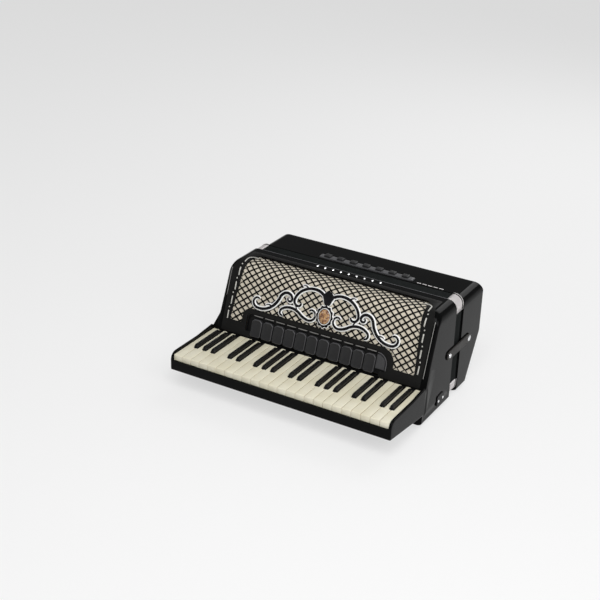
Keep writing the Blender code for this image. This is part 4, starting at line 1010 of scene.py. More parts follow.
def raised(loop, levels):
    """Closed pad on the grille from a loop in (x, run)."""
    return pad(lambda x, run, height: on_grille(x, run, -height), loop, levels)


tab_black = matte_plastic("switch_plastic", 0.022, 0.45)
# The bevel ring of each switch gets a lighter grey, which is a painted highlight along its edge.
tab_bevel_highlight = matte_plastic("switch_bevel_highlight", 0.095, 0.40)
panel_grey = matte_plastic("recess_panel", 0.055, 0.45)
line_grey = matte_plastic("recess_line", 0.13, 0.35)
tray_black = matte_plastic("tray_plastic", 0.0025, 0.6)
bright_chrome = plated("bright_chrome", (0.78, 0.78, 0.79), 0.08, 0.24)
trim_chrome = plated("trim_chrome", (0.36, 0.355, 0.34), 0.25, 0.40, 0.6)
tray_low = (RECESS_LOW + TRAY_CLEAR, TRAY_FOOT)
tray_high = (RECESS_HIGH - TRAY_CLEAR, RECESS_TOP - TRAY_CLEAR)
tray_loop = rounded(rectangle(tray_low, tray_high), [0.003, 0.004, 0.024, 0.010])
tray_wall = (0.990, 0.93)
tray_levels = [(1.0, -TRAY_BACK), (1.0, -TRAY_LIP), (tray_wall, -TRAY_LIP), (tray_wall, -TRAY_SINK)]
piece(
    "register_tray", raised(tray_loop, tray_levels),
    tray_black, "treble_side", "register_tab", ["register_bank"],
)
tab_half, foot_half, head_half = [TAB_WIDTH / 2 - corner for corner in (0.0, TAB_FOOT_CORNER, TAB_CORNER)]
tab_loop = rounded(
    [
        (-tab_half, TAB_FOOT + TAB_FOOT_CORNER), (-foot_half, TAB_FOOT),
        (foot_half, TAB_FOOT), (tab_half, TAB_FOOT + TAB_FOOT_CORNER),
        (tab_half, TAB_HEAD - TAB_CORNER), (head_half, TAB_HEAD),
        (-head_half, TAB_HEAD), (-tab_half, TAB_HEAD - TAB_CORNER),
    ],
    [0.002] * 4 + [0.0025] * 4, 5,
)
tab_levels = [(1.0, -TRAY_SINK)] + [
    (share, TAB_PROUD - drop)
    for share, drop in (
        (1.0, 0.0013), (0.975, 0.0004), (0.93, 0.0), (0.86, 0.0002),
        (0.80, 0.0006), (0.55, 0.0009), (0.05, 0.0010),
    )
]
trim_levels = [(1.0, -0.0016), (1.0, 0.0002), (0.97, 0.0006), (0.5, 0.0007)]
for number in range(TABS):
    x = TAB_FIRST + number * TAB_PITCH
    tab = solid(f"register_switch_{number + 1:02d}", raised(tab_loop + (x, 0.0), tab_levels))
    # The bevel faces, rings one and two, take the lighter grey of the painted highlight.
    ring_of = np.arange(len(tab.data.polygons)) // len(tab_loop)
    tab.data.polygons.foreach_set("material_index", np.isin(ring_of, (1, 2)).astype(np.int32))
    settle(tab, [tab_black, tab_bevel_highlight], "treble_side", "register_tab", ["register_bank"], 50.0)
    trim_path = [(x - TRIM_LONG, RECESS_TOP - TRIM_DROP), (x + TRIM_LONG, RECESS_TOP - TRIM_DROP)]
    trim_shape = raised(stroke(trim_path, TRIM_HALF), trim_levels)
    piece(f"trim_dash_{number + 1:02d}", trim_shape, trim_chrome, "treble_side")

sweep_middle = np.array([RECESS_HIGH - SWEEP_IN, RECESS_TOP - SWEEP_IN])
sweep = sweep_middle + SWEEP_RADIUS * turned(np.linspace(np.pi / 2, 0.0, 15))
sweep = np.concatenate([sweep, [(RECESS_HIGH - SWEEP_EDGE, PANEL_FOOT)]])
tray_line = [stroke(sweep, TRIM_HALF)]
tray_end = sheet_metal("tray_end_line", tray_line, -LINE_PROUD, LINE_THICK, LINE_ROUND)
settle(tray_end, line_grey, "treble_side")
panel_corners = rectangle((PANEL_LOW, PANEL_FOOT), (PANEL_HIGH, PANEL_HEAD))
panel_loop = rounded(panel_corners, [0.001, 0.001, 0.0178, 0.001])
panel_levels = [(1.0, -TRAY_SINK), (1.0, -0.0006), (0.96, 0.0), (0.1, 0.0)]
piece(
    "recess_end_panel", raised(panel_loop, panel_levels),
    panel_grey, "treble_side", "register_tab", ["register_bank"],
)

# Ornament: black enamelled scrolls with silver edges, fixed over the lattice round an amber oval in a
# scalloped silver rim. Each scroll is a pressed strip, and the right half mirrors the left.
SILVER_EDGE = 0.0017
ORNAMENT_BASE = -0.0009
SILVER_RISE, ENAMEL_RISE, CREST_RISE = 0.0021, 0.0025, 0.0002
SCROLLS = (
    (
        (0.0105, 0.1250), 36, ((-36, 0.034, 0.036), (-78, 0.050, 0.030), (-205, 0.0115, 0.0045)),
        (0.0042, 0.0036, 0.0024), 0.42,
    ),
    (
        (0.0865, 0.1015), -40,
        ((-235, 0.0034, 0.006), (-158, 0.0085, 0.019), (84, 0.054, 0.034), (222, 0.0130, 0.0050)),
        (0.0020, 0.0038, 0.0022), 0.60,
    ),
    (
        (0.0350, 0.0860), 110,
        ((258, 0.0046, 0.0150), (28, 0.042, 0.042), (-74, 0.040, 0.030), (-170, 0.0090, 0.0040)),
        (0.0020, 0.0036, 0.0020), 0.56,
    ),
)
LEAF_SWING, LEAF_CURL, LEAF_START, LEAF_END = 78, 1.2, 0.0026, 0.0008
LEAF_RADII = (0.0115, 0.0085)
DOME_FULL, END_LEAST = 0.0012, 2e-4
CREST_RUN, CREST_POINTS = (0.1345, 0.1045), 40
CREST_MARKS, CREST_HALVES = (0.0, 0.35, 1.0), (0.0125, 0.0140, 0.0060)
OVAL = np.array([MIDDLE, 0.084])
RIM_HALF, INNER_HALF, STONE_HALF = (0.0195, 0.0235), (0.0140, 0.0171), (0.0126, 0.0156)
SCALLOPS, SCALLOP_DEEP = 12, 0.055
STONE_SINK, STONE_LIFT, STONE_BULGE, STONE_FLAT = 0.0004, 0.0008, 0.0034, 0.98
PETALS, PETAL_RISE, PETAL_FROM, PETAL_LONG = 8, 0.0016, 0.25, 0.62
HEART, HEART_RISE = 0.22, 0.0012


def scroll(start, heading, bends, steps=44):
    """A path of bends joined tangent to tangent.

    In each bend the heading turns evenly while its radius changes evenly.
    """
    path, angle = [np.array([start], float)], math.radians(heading)
    share = (np.arange(steps) + 0.5) / steps
    for turn, radius_in, radius_out in bends:
        way = angle + math.radians(turn) * share
        step = abs(math.radians(turn)) * (radius_in + (radius_out - radius_in) * share) / steps
        path.append(path[-1][-1] + np.cumsum(step[:, None] * turned(way), 0))
        angle += math.radians(turn)
    return np.concatenate(path)


def ribbon(path, half, rise, base=ORNAMENT_BASE, arc=9):
    """A domed strip along a path on the grille: half an ellipse across, closed below, with round ends.

    At length s from an end the half width is drawn in by sqrt(1 - (1 - s / half)^2), a circle's outline.
    """
    way = unit(np.gradient(path, axis=0))
    length = np.concatenate([[0.0], np.cumsum(np.linalg.norm(np.diff(path, axis=0), axis=1))])
    side = left_of(way)
    near_end = np.minimum(length, length[-1] - length) + END_LEAST
    half = half * np.sqrt(1.0 - np.clip(1.0 - near_end / half, 0.0, 1.0) ** 2)
    swing = np.linspace(np.pi, 0.0, arc)
    across = path[:, None] + side[:, None] * (half[:, None] * np.cos(swing))[..., None]
    dome = np.sqrt(np.sin(swing)).clip(0.0)[None] * np.minimum(1.0, half / DOME_FULL)[:, None]
    return skin(on_grille(across[..., 0], across[..., 1], -base - rise * dome))


def widths(path, start, middle, end):
    """Half widths along a path: start to middle to end, eased."""
    share = np.linspace(0.0, 1.0, len(path))
    hump = np.sin(np.pi * share) ** 0.8
    return (start + (end - start) * share) * (1.0 - hump) + middle * hump


def leaf(path, share):
    """A short pointed leaf that leaves a path at a share of its points and bends back along it."""
    index = int(share * (len(path) - 1))
    way = path[index + 1] - path[index]
    heading = math.degrees(math.atan2(way[1], way[0])) + LEAF_SWING
    return scroll(path[index], heading, ((-LEAF_CURL * LEAF_SWING, *LEAF_RADII),), 16)


def amber():
    """Amber-coloured resin: warm, clouded from peach to brown and polished."""
    material, place = fresh("amber_resin")
    tone = ramp(noise(place, 140.0, 4.0), (0.16, 0.055, 0.018), (0.68, 0.42, 0.20), 0.40, 0.62)
    return coat(material, Base_Color=tone, Roughness=0.22, Coat_Weight=0.3)


def fitting(name, shape, material):
    """A small softly shaded piece on the treble side."""
    piece(name, shape, material, "treble_side", sharp=60.0)


silver_plate = plated("silver_plate", (0.93, 0.93, 0.92), 0.35, 0.6, 0.15, (300.0, 4.0))
enamel = lacquer("scroll_enamel", (0.006, 0.006, 0.007), (0.011, 0.011, 0.013), 0.25)
for way, side_name in ((-1, "low"), (1, "high")):
    for number, (start, heading, bends, half, leaf_share) in enumerate(SCROLLS):
        main = scroll(start, heading, bends)
        spur = leaf(main, leaf_share)
        spur_half = np.linspace(LEAF_START, LEAF_END, len(spur))
        for part, path, half_width in (("leaf", spur, spur_half), ("scroll", main, widths(main, *half))):
            path = path * (way, 1.0) + (MIDDLE, 0.0)
            edge = ribbon(path, half_width + SILVER_EDGE, SILVER_RISE)
            fitting(f"{part}_edge_{side_name}_{number + 1}", edge, silver_plate)
            band = ribbon(path, half_width, ENAMEL_RISE)
            fitting(f"{part}_band_{side_name}_{number + 1}", band, enamel)
crest_path = stacked(MIDDLE, np.linspace(*CREST_RUN, CREST_POINTS))
crest_share = np.linspace(0.0, 1.0, CREST_POINTS)
crest_half = np.interp(crest_share, CREST_MARKS, CREST_HALVES)
fitting("crest_edge", ribbon(crest_path, crest_half + SILVER_EDGE, SILVER_RISE + CREST_RISE), silver_plate)
fitting("crest_band", ribbon(crest_path, crest_half, ENAMEL_RISE + CREST_RISE), enamel)
oval_turn = np.linspace(0.0, 2 * np.pi, 145)[:-1]
oval_way = turned(oval_turn)
rim_loop = OVAL + oval_way * RIM_HALF * (1.0 + SCALLOP_DEEP * np.cos(SCALLOPS * oval_turn))[:, None]
inner_loop = OVAL + oval_way * INNER_HALF
rim_levels = [(1.0, ORNAMENT_BASE), (1.0, 0.0012), (0.98, 0.0017), (0.85, 0.0017)]
field_levels = [(0.93, 0.0004), (0.93, 0.0018), (0.90, 0.0025), (0.82, 0.0027), (0.70, 0.0022)]
inner_levels = [(1.0, 0.0012), (1.0, 0.0028), (0.97, 0.0031), (0.93, 0.0031), (0.90, 0.0020)]
fitting("oval_rim", raised(rim_loop, rim_levels), silver_plate)
fitting("oval_field", raised(rim_loop, field_levels), enamel)
fitting("oval_inner_rim", raised(inner_loop, inner_levels), silver_plate)
rho = np.linspace(1.0, 0.03, 28)[:, None]
petal_share = np.clip((rho - PETAL_FROM) / PETAL_LONG, 0.0, 1.0)
petal = (0.5 + 0.5 * np.cos(PETALS * oval_turn)) * np.sin(np.pi * petal_share)
bulge = STONE_LIFT + STONE_BULGE * np.sqrt(1.0 - rho**2 * STONE_FLAT)
stone_x, stone_run = (OVAL + oval_way * STONE_HALF).T
stone_height = bulge + PETAL_RISE * petal + HEART_RISE * (rho < HEART)
stone_rings = on_grille(
    MIDDLE + (stone_x - MIDDLE) * rho, OVAL[1] + (stone_run - OVAL[1]) * rho, -stone_height,
)
stone_base = on_grille(stone_x, stone_run, STONE_SINK)
fitting("oval_stone", skin(np.concatenate([stone_base[None], stone_rings])), amber())

# Trim on the treble casing: a bead down each end of the grille, a fine strip and a row of small cut studs
# on the top, and a screwed plate for each shoulder strap near the back. Beads, studs and screws are plated
# brass and the plates are covered like the casing. The fine strip along the rear edge is a painted
# highlight: its pale grey stands in for the light along that rounded edge.
STUDS = 9
STUD_STEP, STUD_RADIUS, STUD_SHIFT = 0.018, 0.0030, 0.002
STUD_LEVELS = ((1.0, -0.0004), (1.0, 0.0006), (0.72, 0.0018), (0.40, 0.0022))
BEAD_RUN, BEAD_OUT, BEAD_HALF, BEAD_RISE, BEAD_POINTS = (0.020, 0.132), 0.0021, 0.0007, 0.0010, 60
HOOP_FRONT, HOOP_REAR, HOOP_SINK, HOOP_RISE = 0.0020, 0.0009, 0.0004, 0.0003
BRACKET = np.array([KEY_LINE + 0.090, 0.026])
BRACKET_HALF, BRACKET_ROUND = np.array([0.016, 0.011]), 0.005
BRACKET_LEVELS = ((1.0, -0.001), (1.0, 0.0022), (0.96, 0.0030), (0.1, 0.0030))
SCREW_LEVELS = ((1.0, 0.0026), (1.0, 0.0034), (0.8, 0.0042), (0.15, 0.0044))
SCREW_RADIUS, SCREW_APART = 0.0030, 0.010
ENDS = (("low", -1, BODY_LOW), ("high", 1, BODY_HIGH))


def circle(centre, radius, steps):
    """Points round a circle in a plane; the radius may change from point to point."""
    return centre + np.reshape(radius, (-1, 1)) * turned(np.arange(steps) * 2 * np.pi / steps)


def wall_pad(x, way, loop, levels):
    """Closed pad on an end wall from a loop in (Y, Z), with its heights out along X."""
    return pad(lambda y, z, out: stacked(x + way * out, y, z), loop, levels)


for side_name, way, wall_x in ENDS:
    bead_path = stacked(MIDDLE + way * (GRILLE_HALF + BEAD_OUT), np.linspace(*BEAD_RUN, BEAD_POINTS))
    bead = ribbon(bead_path, np.full(BEAD_POINTS, BEAD_HALF), BEAD_RISE, -BEAD_RISE)
    fitting(f"end_bead_{side_name}", bead, trim_chrome)
hoop_low = (BODY_LOW + CASE_CORNER, CASING_REAR - HOOP_FRONT, CREST - HOOP_SINK)
hoop_high = (BODY_HIGH - CASE_CORNER, CASING_REAR - HOOP_REAR, CREST + HOOP_RISE)
# A pale grey strip on the casing's rear top edge, which is a painted highlight of that rounded edge.
piece("hoop_edge_highlight", block(hoop_low, hoop_high), line_grey, "treble_side")
stud_y = (GRILLE_HI.y + CASING_REAR) / 2
stud_x = MIDDLE + STUD_SHIFT + (np.arange(STUDS) - (STUDS - 1) / 2) * STUD_STEP
stud_shapes = [
    pad(lambda x, y, up: stacked(x, y, CREST + up), circle((x, stud_y), STUD_RADIUS, 8), STUD_LEVELS)
    for x in stud_x
]
piece("cut_studs", gathered(stud_shapes), bright_chrome, "treble_side", sharp=5.0)
bracket_loop = rounded(rectangle(BRACKET - BRACKET_HALF, BRACKET + BRACKET_HALF), BRACKET_ROUND)
for side_name, way, wall_x in ENDS:
    plate = wall_pad(wall_x, way, bracket_loop, BRACKET_LEVELS)
    piece(f"bracket_plate_{side_name}", plate, black_celluloid, "treble_side")
    screws = [
        wall_pad(wall_x, way, circle(BRACKET + (shift, 0.0), SCREW_RADIUS, 20), SCREW_LEVELS)
        for shift in (-SCREW_APART, SCREW_APART)
    ]
    piece(f"bracket_screws_{side_name}", gathered(screws), bright_chrome, "treble_side")

# Pallet board and reed blocks: bare birch ply across the treble casing, and bare maple blocks behind it and
# in the bass side. They sit inside, glued and pinned, and show only where something lets one look in.
birch = wood("birch_ply", (0.47, 0.33, 0.18), (0.62, 0.47, 0.28), 30.0, (0.15, 1.0, 1.0))
maple = wood("maple_block", (0.52, 0.38, 0.21), (0.68, 0.52, 0.32), 24.0, (0.12, 1.0, 1.0))
for inner, timber in (("pallet_board", birch), ("treble_reed_block", maple), ("bass_reed_block", maple)):
    paint_solid(inner, timber)

# Bellows: a tube of pleated card covered in dark cloth, with a metal cap on every corner of its folds.
# Its two end frames are pinned to the casings, and the folds open between them.
BELLOWS_LO, BELLOWS_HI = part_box("bellows")
FOLDS = 12
FOLD_DEEP, FOLD_WALL = 0.024, 0.0022
FOLD_MARKS = ((0.0, FOLD_DEEP), (0.22, 0.0022), (0.36, 0.0005), (0.5, 0.0), (0.64, 0.0005), (0.78, 0.0022))
END_FRAME, FRAME_WALL, FRAME_PROUD, FRAME_EDGE = 0.0040, 0.016, 0.0008, 0.0006
BELLOWS_CORNER, LEAST_CORNER = 0.017, 0.003
CAP_DROP, CAP_REACH = 0.012, 0.004
CAP_PROUD, CAP_THICK = 0.0006, 0.0004
WRAP_START, WRAP_STOP = 0.0020, 0.0004


def around(y, sink):
    """Filleted rectangle in (X, Z) at a place along Y, drawn in by sink on all sides."""
    low, high = (BELLOWS_LO.x + sink, BELLOWS_LO.z + sink), (BELLOWS_HI.x - sink, BELLOWS_HI.z - sink)
    flat = rounded(rectangle(low, high), max(BELLOWS_CORNER - sink, LEAST_CORNER))
    return np.insert(flat, 1, y, axis=1)


def tube_wall(stations, wall):
    """Closed wall of a tube: rings at (y, sink), then the same rings drawn in by the wall."""
    outer = [around(y, sink) for y, sink in stations]
    inner = [around(y, sink + wall) for y, sink in reversed(stations)]
    return skin(np.stack(outer + inner), "joined")


def bellows_cloth():
    """Bellows cloth: dark book cloth with a fine weave, worn a little lighter where it rubs."""
    material, place = fresh("bellows_cloth")
    thread = computed("ADD", waves(place, "X", 360.0), waves(place, "Z", 360.0))
    return coat(
        material,
        Base_Color=ramp(noise(place, 26.0, 5.0), (0.007, 0.0085, 0.0085), (0.017, 0.020, 0.0195)),
        Normal=bump(thread, 0.2, 0.0003),
        Roughness=0.5,
        Specular_IOR_Level=0.2,
    )


fold_start, fold_end = BELLOWS_LO.y + END_FRAME, BELLOWS_HI.y - END_FRAME
fold_pitch = (fold_end - fold_start) / FOLDS
fold_stations = [
    (fold_start + (number + share) * fold_pitch, sink)
    for number in range(FOLDS)
    for share, sink in FOLD_MARKS
]
fold_stations.append((fold_end, FOLD_DEEP))
folds = tube_wall(fold_stations, FOLD_WALL)
bellows = piece("bellows_folds", folds, bellows_cloth(), None, "bellows_cloth", ["bellows"], 70.0)
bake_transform(bellows)

cap_turn = np.concatenate([[0.0], np.linspace(0.0, np.pi / 2, 13), [np.pi / 2]])
cap_normal = turned(cap_turn)
cap_way = BELLOWS_CORNER * (cap_normal - 1.0)
cap_way[0, 1] -= CAP_DROP
cap_way[-1, 0] -= CAP_REACH


def corner_wraps(y, sink):
    """Four open grids round the corners of the tube: one row for each y, standing proud of its sink."""
    flat = cap_way[:, None] + cap_normal[:, None] * (CAP_PROUD - np.asarray(sink))[None, :, None]
    shapes = []
    for way_x, way_z in ((1, 1), (-1, 1), (-1, -1), (1, -1)):
        corner_x = BELLOWS_HI.x if way_x > 0 else BELLOWS_LO.x
        corner_z = BELLOWS_HI.z if way_z > 0 else BELLOWS_LO.z
        grid = stacked(corner_x + way_x * flat[..., 0], y, corner_z + way_z * flat[..., 1])
        grid = grid if way_x * way_z > 0 else grid[::-1]
        shapes.append((grid.reshape(-1, 3), patch(*grid.shape[:2])))
    return shapes


def metal_wraps(name, shapes, body, slot=None):
    """Thin metal over open grids."""
    made = open_mesh(name, *gathered(shapes))
    thicken(made, CAP_THICK)
    return settle(made, satin_silver, body, slot, (), 60.0)


satin_silver = plated("satin_silver", (0.74, 0.71, 0.71), 0.30, 0.45, 0.3)
cap_share, cap_sink = np.array(FOLD_MARKS[1:]).T
cap_shapes = []
for fold in range(FOLDS):
    cap_shapes += corner_wraps(fold_start + (fold + cap_share) * fold_pitch, cap_sink)
caps = metal_wraps("bellows_corner_caps", cap_shapes, None, "chrome")
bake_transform(caps)
for end_name, body, start_y in (("treble", "treble_side", BELLOWS_LO.y), ("bass", "bass_side", fold_end)):
    end_y = start_y + END_FRAME
    stations = [
        (start_y, 0.0), (start_y + FRAME_EDGE, -FRAME_PROUD),
        (end_y - FRAME_EDGE, -FRAME_PROUD), (end_y, 0.0),
    ]
    end_wall = tube_wall(stations, FRAME_WALL)
    piece(f"bellows_frame_{end_name}", end_wall, black_celluloid, body, "celluloid", ["bellows"])
    wraps = corner_wraps((start_y + WRAP_START, end_y - WRAP_STOP), (-FRAME_PROUD, -FRAME_PROUD))
    metal_wraps(f"frame_corners_{end_name}", wraps, body)

# Bass casing: a second box of wood under black celluloid, with a slanted face for the buttons at the back
# and a rounded front edge. It is open to the bellows, and pinned to their frame. A bright
# rim goes round the board of the buttons.
BASS_LO, BASS_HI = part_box("bass_casing")
BASS_BACK, SLANT_TOP = BASS_LO.y + 0.047, 0.100
BASS_WALL, BASS_FLOOR = 0.008, 0.006
FACE_FOOT = np.array([BASS_BACK, 0.0])
FACE_EDGE = np.array([BASS_HI.y, SLANT_TOP]) - FACE_FOOT
FACE_LONG = float(np.linalg.norm(FACE_EDGE))
FACE_UP = FACE_EDGE / FACE_LONG
FACE_OUT = np.array([FACE_UP[1], -FACE_UP[0]])
PANEL_EDGE, PANEL_ROUND, PANEL_PAST = 0.010, 0.0012, 0.006
PANEL_HALF = np.array([(BODY_HIGH - BODY_LOW) / 2 - BASS_WALL, FACE_LONG / 2]) - PANEL_EDGE
RIM_WIDE, RIM_HEIGHT, RIM_CROWN, RIM_SINK = 0.004, 0.0006, 0.0008, 0.0004
BASS_FILLETS, BASS_SHRINK = (0.0008, 0.004, 0.010, 0.018, 0.0008), (0.4, 0.4, 0.4, 1, 0)


def on_face(x, up, out):
    """Points on the slanted button face: x from the middle, up it from its middle line, and out of it."""
    x, up, out = np.broadcast_arrays(x, up, out)
    flat = FACE_FOOT + FACE_EDGE / 2 + FACE_UP * up[..., None] + FACE_OUT * out[..., None]
    return np.concatenate([MIDDLE + x[..., None], flat], -1)


bass_corners = [
    (BASS_LO.y, 0.0),
    (BASS_BACK, 0.0),
    (BASS_HI.y, SLANT_TOP),
    (BASS_HI.y, BASS_HI.z),
    (BASS_LO.y, BASS_HI.z),
]
bass_shell = solid("bass_casing_shell", round_ended(
    bass_corners, BASS_FILLETS, BASS_SHRINK, BODY_LOW, BODY_HIGH, CASE_CORNER,
))
window = rounded(rectangle(-PANEL_HALF, PANEL_HALF), PANEL_ROUND)
bass_hollow = moved_in(bass_corners, [BASS_FLOOR, BASS_WALL, BASS_WALL, BASS_WALL, -CUT_PAST])
cut(bass_shell, [
    bar(bass_hollow, BODY_LOW + BASS_WALL, BODY_HIGH - BASS_WALL),
    pad(on_face, window, [(1.0, -BASS_WALL - PANEL_PAST), (1.0, PANEL_PAST)]),
])
shade_evenly(bass_shell)
settle(bass_shell, black_celluloid, "bass_side", "celluloid", ["bass_casing"])
rim_half, rim_full = 1.0 + RIM_WIDE / 2 / PANEL_HALF, 1.0 + RIM_WIDE / PANEL_HALF
rim_levels = [
    (1.0, RIM_HEIGHT), (rim_half, RIM_HEIGHT + RIM_CROWN), (rim_full, RIM_HEIGHT),
    (rim_full, -RIM_SINK), (1.0, -RIM_SINK),
]
piece("panel_rim", pad(on_face, window, rim_levels, "joined"), bright_chrome, "bass_side")

# Bass buttons: a black board in the slanted face with six leaning rows of twenty pale round buttons, each in
# a low collar. Three marker buttons have a cup in their top, as the fingers find them by touch.
BUTTON_COLUMNS, BUTTON_ROWS = 20, 6
BUTTON_PITCH, ROW_STEP, BUTTON_SKEW = 0.0172, 0.0145, 0.0052
BUTTON_RADIUS, BOARD_FIT = 0.0046, 0.9985
MARKER_ROW, MARKER_COLUMNS = 4, (5, 9, 13)
STEM = (
    (1.18, -0.0001), (1.18, 0.0004), (1.04, 0.0004), (1.0, 0.0006),
    (1.0, 0.0044), (0.94, 0.0052), (0.80, 0.0057),
)
DOME = (*STEM, (0.45, 0.0060), (0.05, 0.0061))
CUP = (*STEM, (0.62, 0.0056), (0.30, 0.0046), (0.05, 0.0042))
board = pad(on_face, window * BOARD_FIT, [(1.0, -0.005), (1.0, -0.0005), (0.998, 0.0), (0.05, 0.0)])
board_black = lacquer("panel_lacquer", (0.010, 0.010, 0.011), (0.016, 0.016, 0.017), 0.3)
piece("bass_button_board", board, board_black, "bass_side", "bass_button", ["bass_button_panel"])
button_shapes = []
for column in range(BUTTON_COLUMNS):
    for row in range(BUTTON_ROWS):
        line = row + 0.5 - BUTTON_ROWS / 2
        x = (column + 0.5 - BUTTON_COLUMNS / 2) * BUTTON_PITCH + line * BUTTON_SKEW
        marker = row == MARKER_ROW and column in MARKER_COLUMNS
        loop = circle((x, line * ROW_STEP), BUTTON_RADIUS, 24)
        button_shapes.append(pad(on_face, loop, CUP if marker else DOME))
button_plastic = key_plastic("button_plastic", (0.70, 0.67, 0.58), (0.80, 0.77, 0.68), 0.25, 160.0)
piece(
    "bass_buttons", gathered(button_shapes),
    button_plastic, "bass_side", "bass_button", ["bass_button_panel"], 40.0,
)

# Hand strap: a wide black leather band, stitched along both edges, arched out from the end of the bass side.
# Both ends lie flat under two screws each, and the wheel at the low-note end winds it tight.
STRAP_LO, STRAP_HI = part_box("bass_strap")
STRAP_THICK, STRAP_ROUND, STRAP_TAB, STRAP_POINTS = 0.004, 0.0016, 0.030, 97
STRAP_BULGE = STRAP_HI.y - STRAP_LO.y - STRAP_THICK
STRAP_FACE = STRAP_LO.y + STRAP_THICK
STITCH_STEP, STITCH_LONG, STITCH_HALF = 0.0062, 0.0040, 0.00045
STITCH_SWELL = np.array([0.25, 0.85, 1.0, 0.85, 0.25])
SEAM_X, SEAM_Z = 0.006, 0.0038
STRAP_SCREW = ((1.0, -0.0008), (1.0, 0.0006), (0.8, 0.0018), (0.4, 0.0023), (0.05, 0.0024))
STRAP_SCREW_RADIUS, STRAP_SCREW_X, STRAP_SCREW_Z = 0.0042, 0.013, 0.014
strap_mid, strap_half_long = (STRAP_HI.x + STRAP_LO.x) / 2, (STRAP_HI.x - STRAP_LO.x) / 2
strap_z, strap_half = (STRAP_HI.z + STRAP_LO.z) / 2, (STRAP_HI.z - STRAP_LO.z) / 2


def leather():
    """Strap leather: black, with a pebbled grain, softer gloss in the hollows and slight rubbing."""
    material, place = fresh("strap_leather")
    crease = noise(place, 45.0, 5.0)
    return coat(
        material,
        Base_Color=ramp(crease, (0.010, 0.009, 0.008), (0.028, 0.024, 0.021)),
        Normal=bump(cells(place, 620.0, {"feature": "SMOOTH_F1"}), 0.45, 0.0005),
        Roughness=spread(crease, 0.38, 0.62),
        Specular_IOR_Level=0.3,
    )


def strap_rise(along):
    """How far the strap stands off: a raised cosine between its two flat ends."""
    share = np.minimum(np.abs(along) / (strap_half_long - STRAP_TAB), 1.0)
    return STRAP_BULGE * np.cos(np.pi / 2 * share) ** 2


def seam(starts, path_of, out):
    """A row of stitches: rings of eight points round short paths, thin at both ends."""
    turn = np.arange(8) * np.pi / 4
    round_path = np.outer(np.cos(turn), out) + np.outer(np.sin(turn), (0.0, 0.0, 1.0))
    rings = STITCH_HALF * STITCH_SWELL[:, None, None] * round_path
    along = np.linspace(0.0, STITCH_LONG, len(STITCH_SWELL))
    return [skin(path_of(start + along)[:, None] + rings) for start in starts]


def end_pad(y, loop, levels, ends="capped"):
    """Pad on the bass end from a loop in (X, Z), with its heights out along Y."""
    return pad(lambda x, z, out: stacked(x, y + out, z), loop, levels, ends)


strap_along = np.linspace(-strap_half_long, strap_half_long, STRAP_POINTS)[:, None]
strap_section = rounded(rectangle((0.0, -strap_half), (STRAP_THICK, strap_half)), STRAP_ROUND, 4)
strap_rings = stacked(
    strap_mid + strap_along,
    STRAP_LO.y + strap_rise(strap_along) + strap_section[:, 0],
    strap_z + strap_section[:, 1],
)
strap_leather = leather()
piece("hand_strap", skin(strap_rings), strap_leather, "bass_side", "leather", ["bass_strap"])
stitch_x = np.arange(-strap_half_long + SEAM_X, strap_half_long - SEAM_X, STITCH_STEP)
stitch_shapes = []
for seam_z in (strap_z - strap_half + SEAM_Z, strap_z + strap_half - SEAM_Z):
    stitch_shapes += seam(
        stitch_x,
        lambda along: stacked(strap_mid + along, STRAP_FACE + strap_rise(along), seam_z),
        (0.0, 1.0, 0.0),
    )
thread = matte_plastic("waxed_thread", 0.055, 0.7)
piece("strap_stitches", gathered(stitch_shapes), thread, "bass_side")
screw_x = strap_half_long - STRAP_SCREW_X
strap_screws = [
    end_pad(STRAP_FACE, circle((strap_mid + x, strap_z + z), STRAP_SCREW_RADIUS, 24), STRAP_SCREW)
    for x in (-screw_x, screw_x)
    for z in (-STRAP_SCREW_Z, STRAP_SCREW_Z)
]
piece("strap_screws", gathered(strap_screws), bright_chrome, "bass_side")

# Strap wheel and air button: a knurled chrome wheel on the low-note end that winds the strap tight, and a
# domed chrome button that opens the air valve. Both are turned metal.
WHEEL_LO, WHEEL_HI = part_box("strap_wheel")
KNURLS, KNURL_DEEP = 48, 0.022
AIR_LO, AIR_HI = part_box("air_button")
AIR_RADIUS = (AIR_HI.x - AIR_LO.x) / 2
COLLAR_WIDE, COLLAR_CLEAR = 0.0030, 0.0006
wheel_turn = np.linspace(0.0, 2 * np.pi, 241)[:-1]
knurl = (WHEEL_HI.z - WHEEL_LO.z) / 2 * (1.0 - KNURL_DEEP * (0.5 + 0.5 * np.cos(KNURLS * wheel_turn)))
wheel_loop = circle(((WHEEL_LO.y + WHEEL_HI.y) / 2, (WHEEL_LO.z + WHEEL_HI.z) / 2), knurl, len(knurl))
deep = WHEEL_HI.x - WHEEL_LO.x
wheel_levels = [
    (0.94, 0.0), (1.0, 0.0006), (1.0, deep - 0.0010), (0.95, deep), (0.74, deep),
    (0.70, deep - 0.0014), (0.40, deep - 0.0014), (0.34, deep - 0.0004), (0.05, deep - 0.0004),
]
wheel = wall_pad(WHEEL_HI.x, -1, wheel_loop, wheel_levels)
piece("strap_wheel_knurled", wheel, bright_chrome, "strap_wheel", "chrome", ["strap_wheel"])
air_centre = ((AIR_LO.x + AIR_HI.x) / 2, (AIR_LO.z + AIR_HI.z) / 2)
deep = AIR_HI.y - AIR_LO.y
air_levels = [
    (1.0, 0.0), (1.0, deep - 0.0022), (0.95, deep - 0.0010), (0.80, deep - 0.0003), (0.4, deep), (0.05, deep),
]
air = end_pad(AIR_LO.y, circle(air_centre, AIR_RADIUS, 40), air_levels)
piece("air_button_dome", air, bright_chrome, "air_button", "chrome", ["air_button"])
hole = (AIR_RADIUS + COLLAR_CLEAR) / (AIR_RADIUS + COLLAR_WIDE)
collar_levels = [(1.0, -0.0004), (1.0, 0.0008), (0.94, 0.0014), (hole, 0.0014), (hole, -0.0004)]
collar = end_pad(BASS_HI.y, circle(air_centre, AIR_RADIUS + COLLAR_WIDE, 40), collar_levels, "joined")
piece("air_button_collar", collar, bright_chrome, "bass_side")

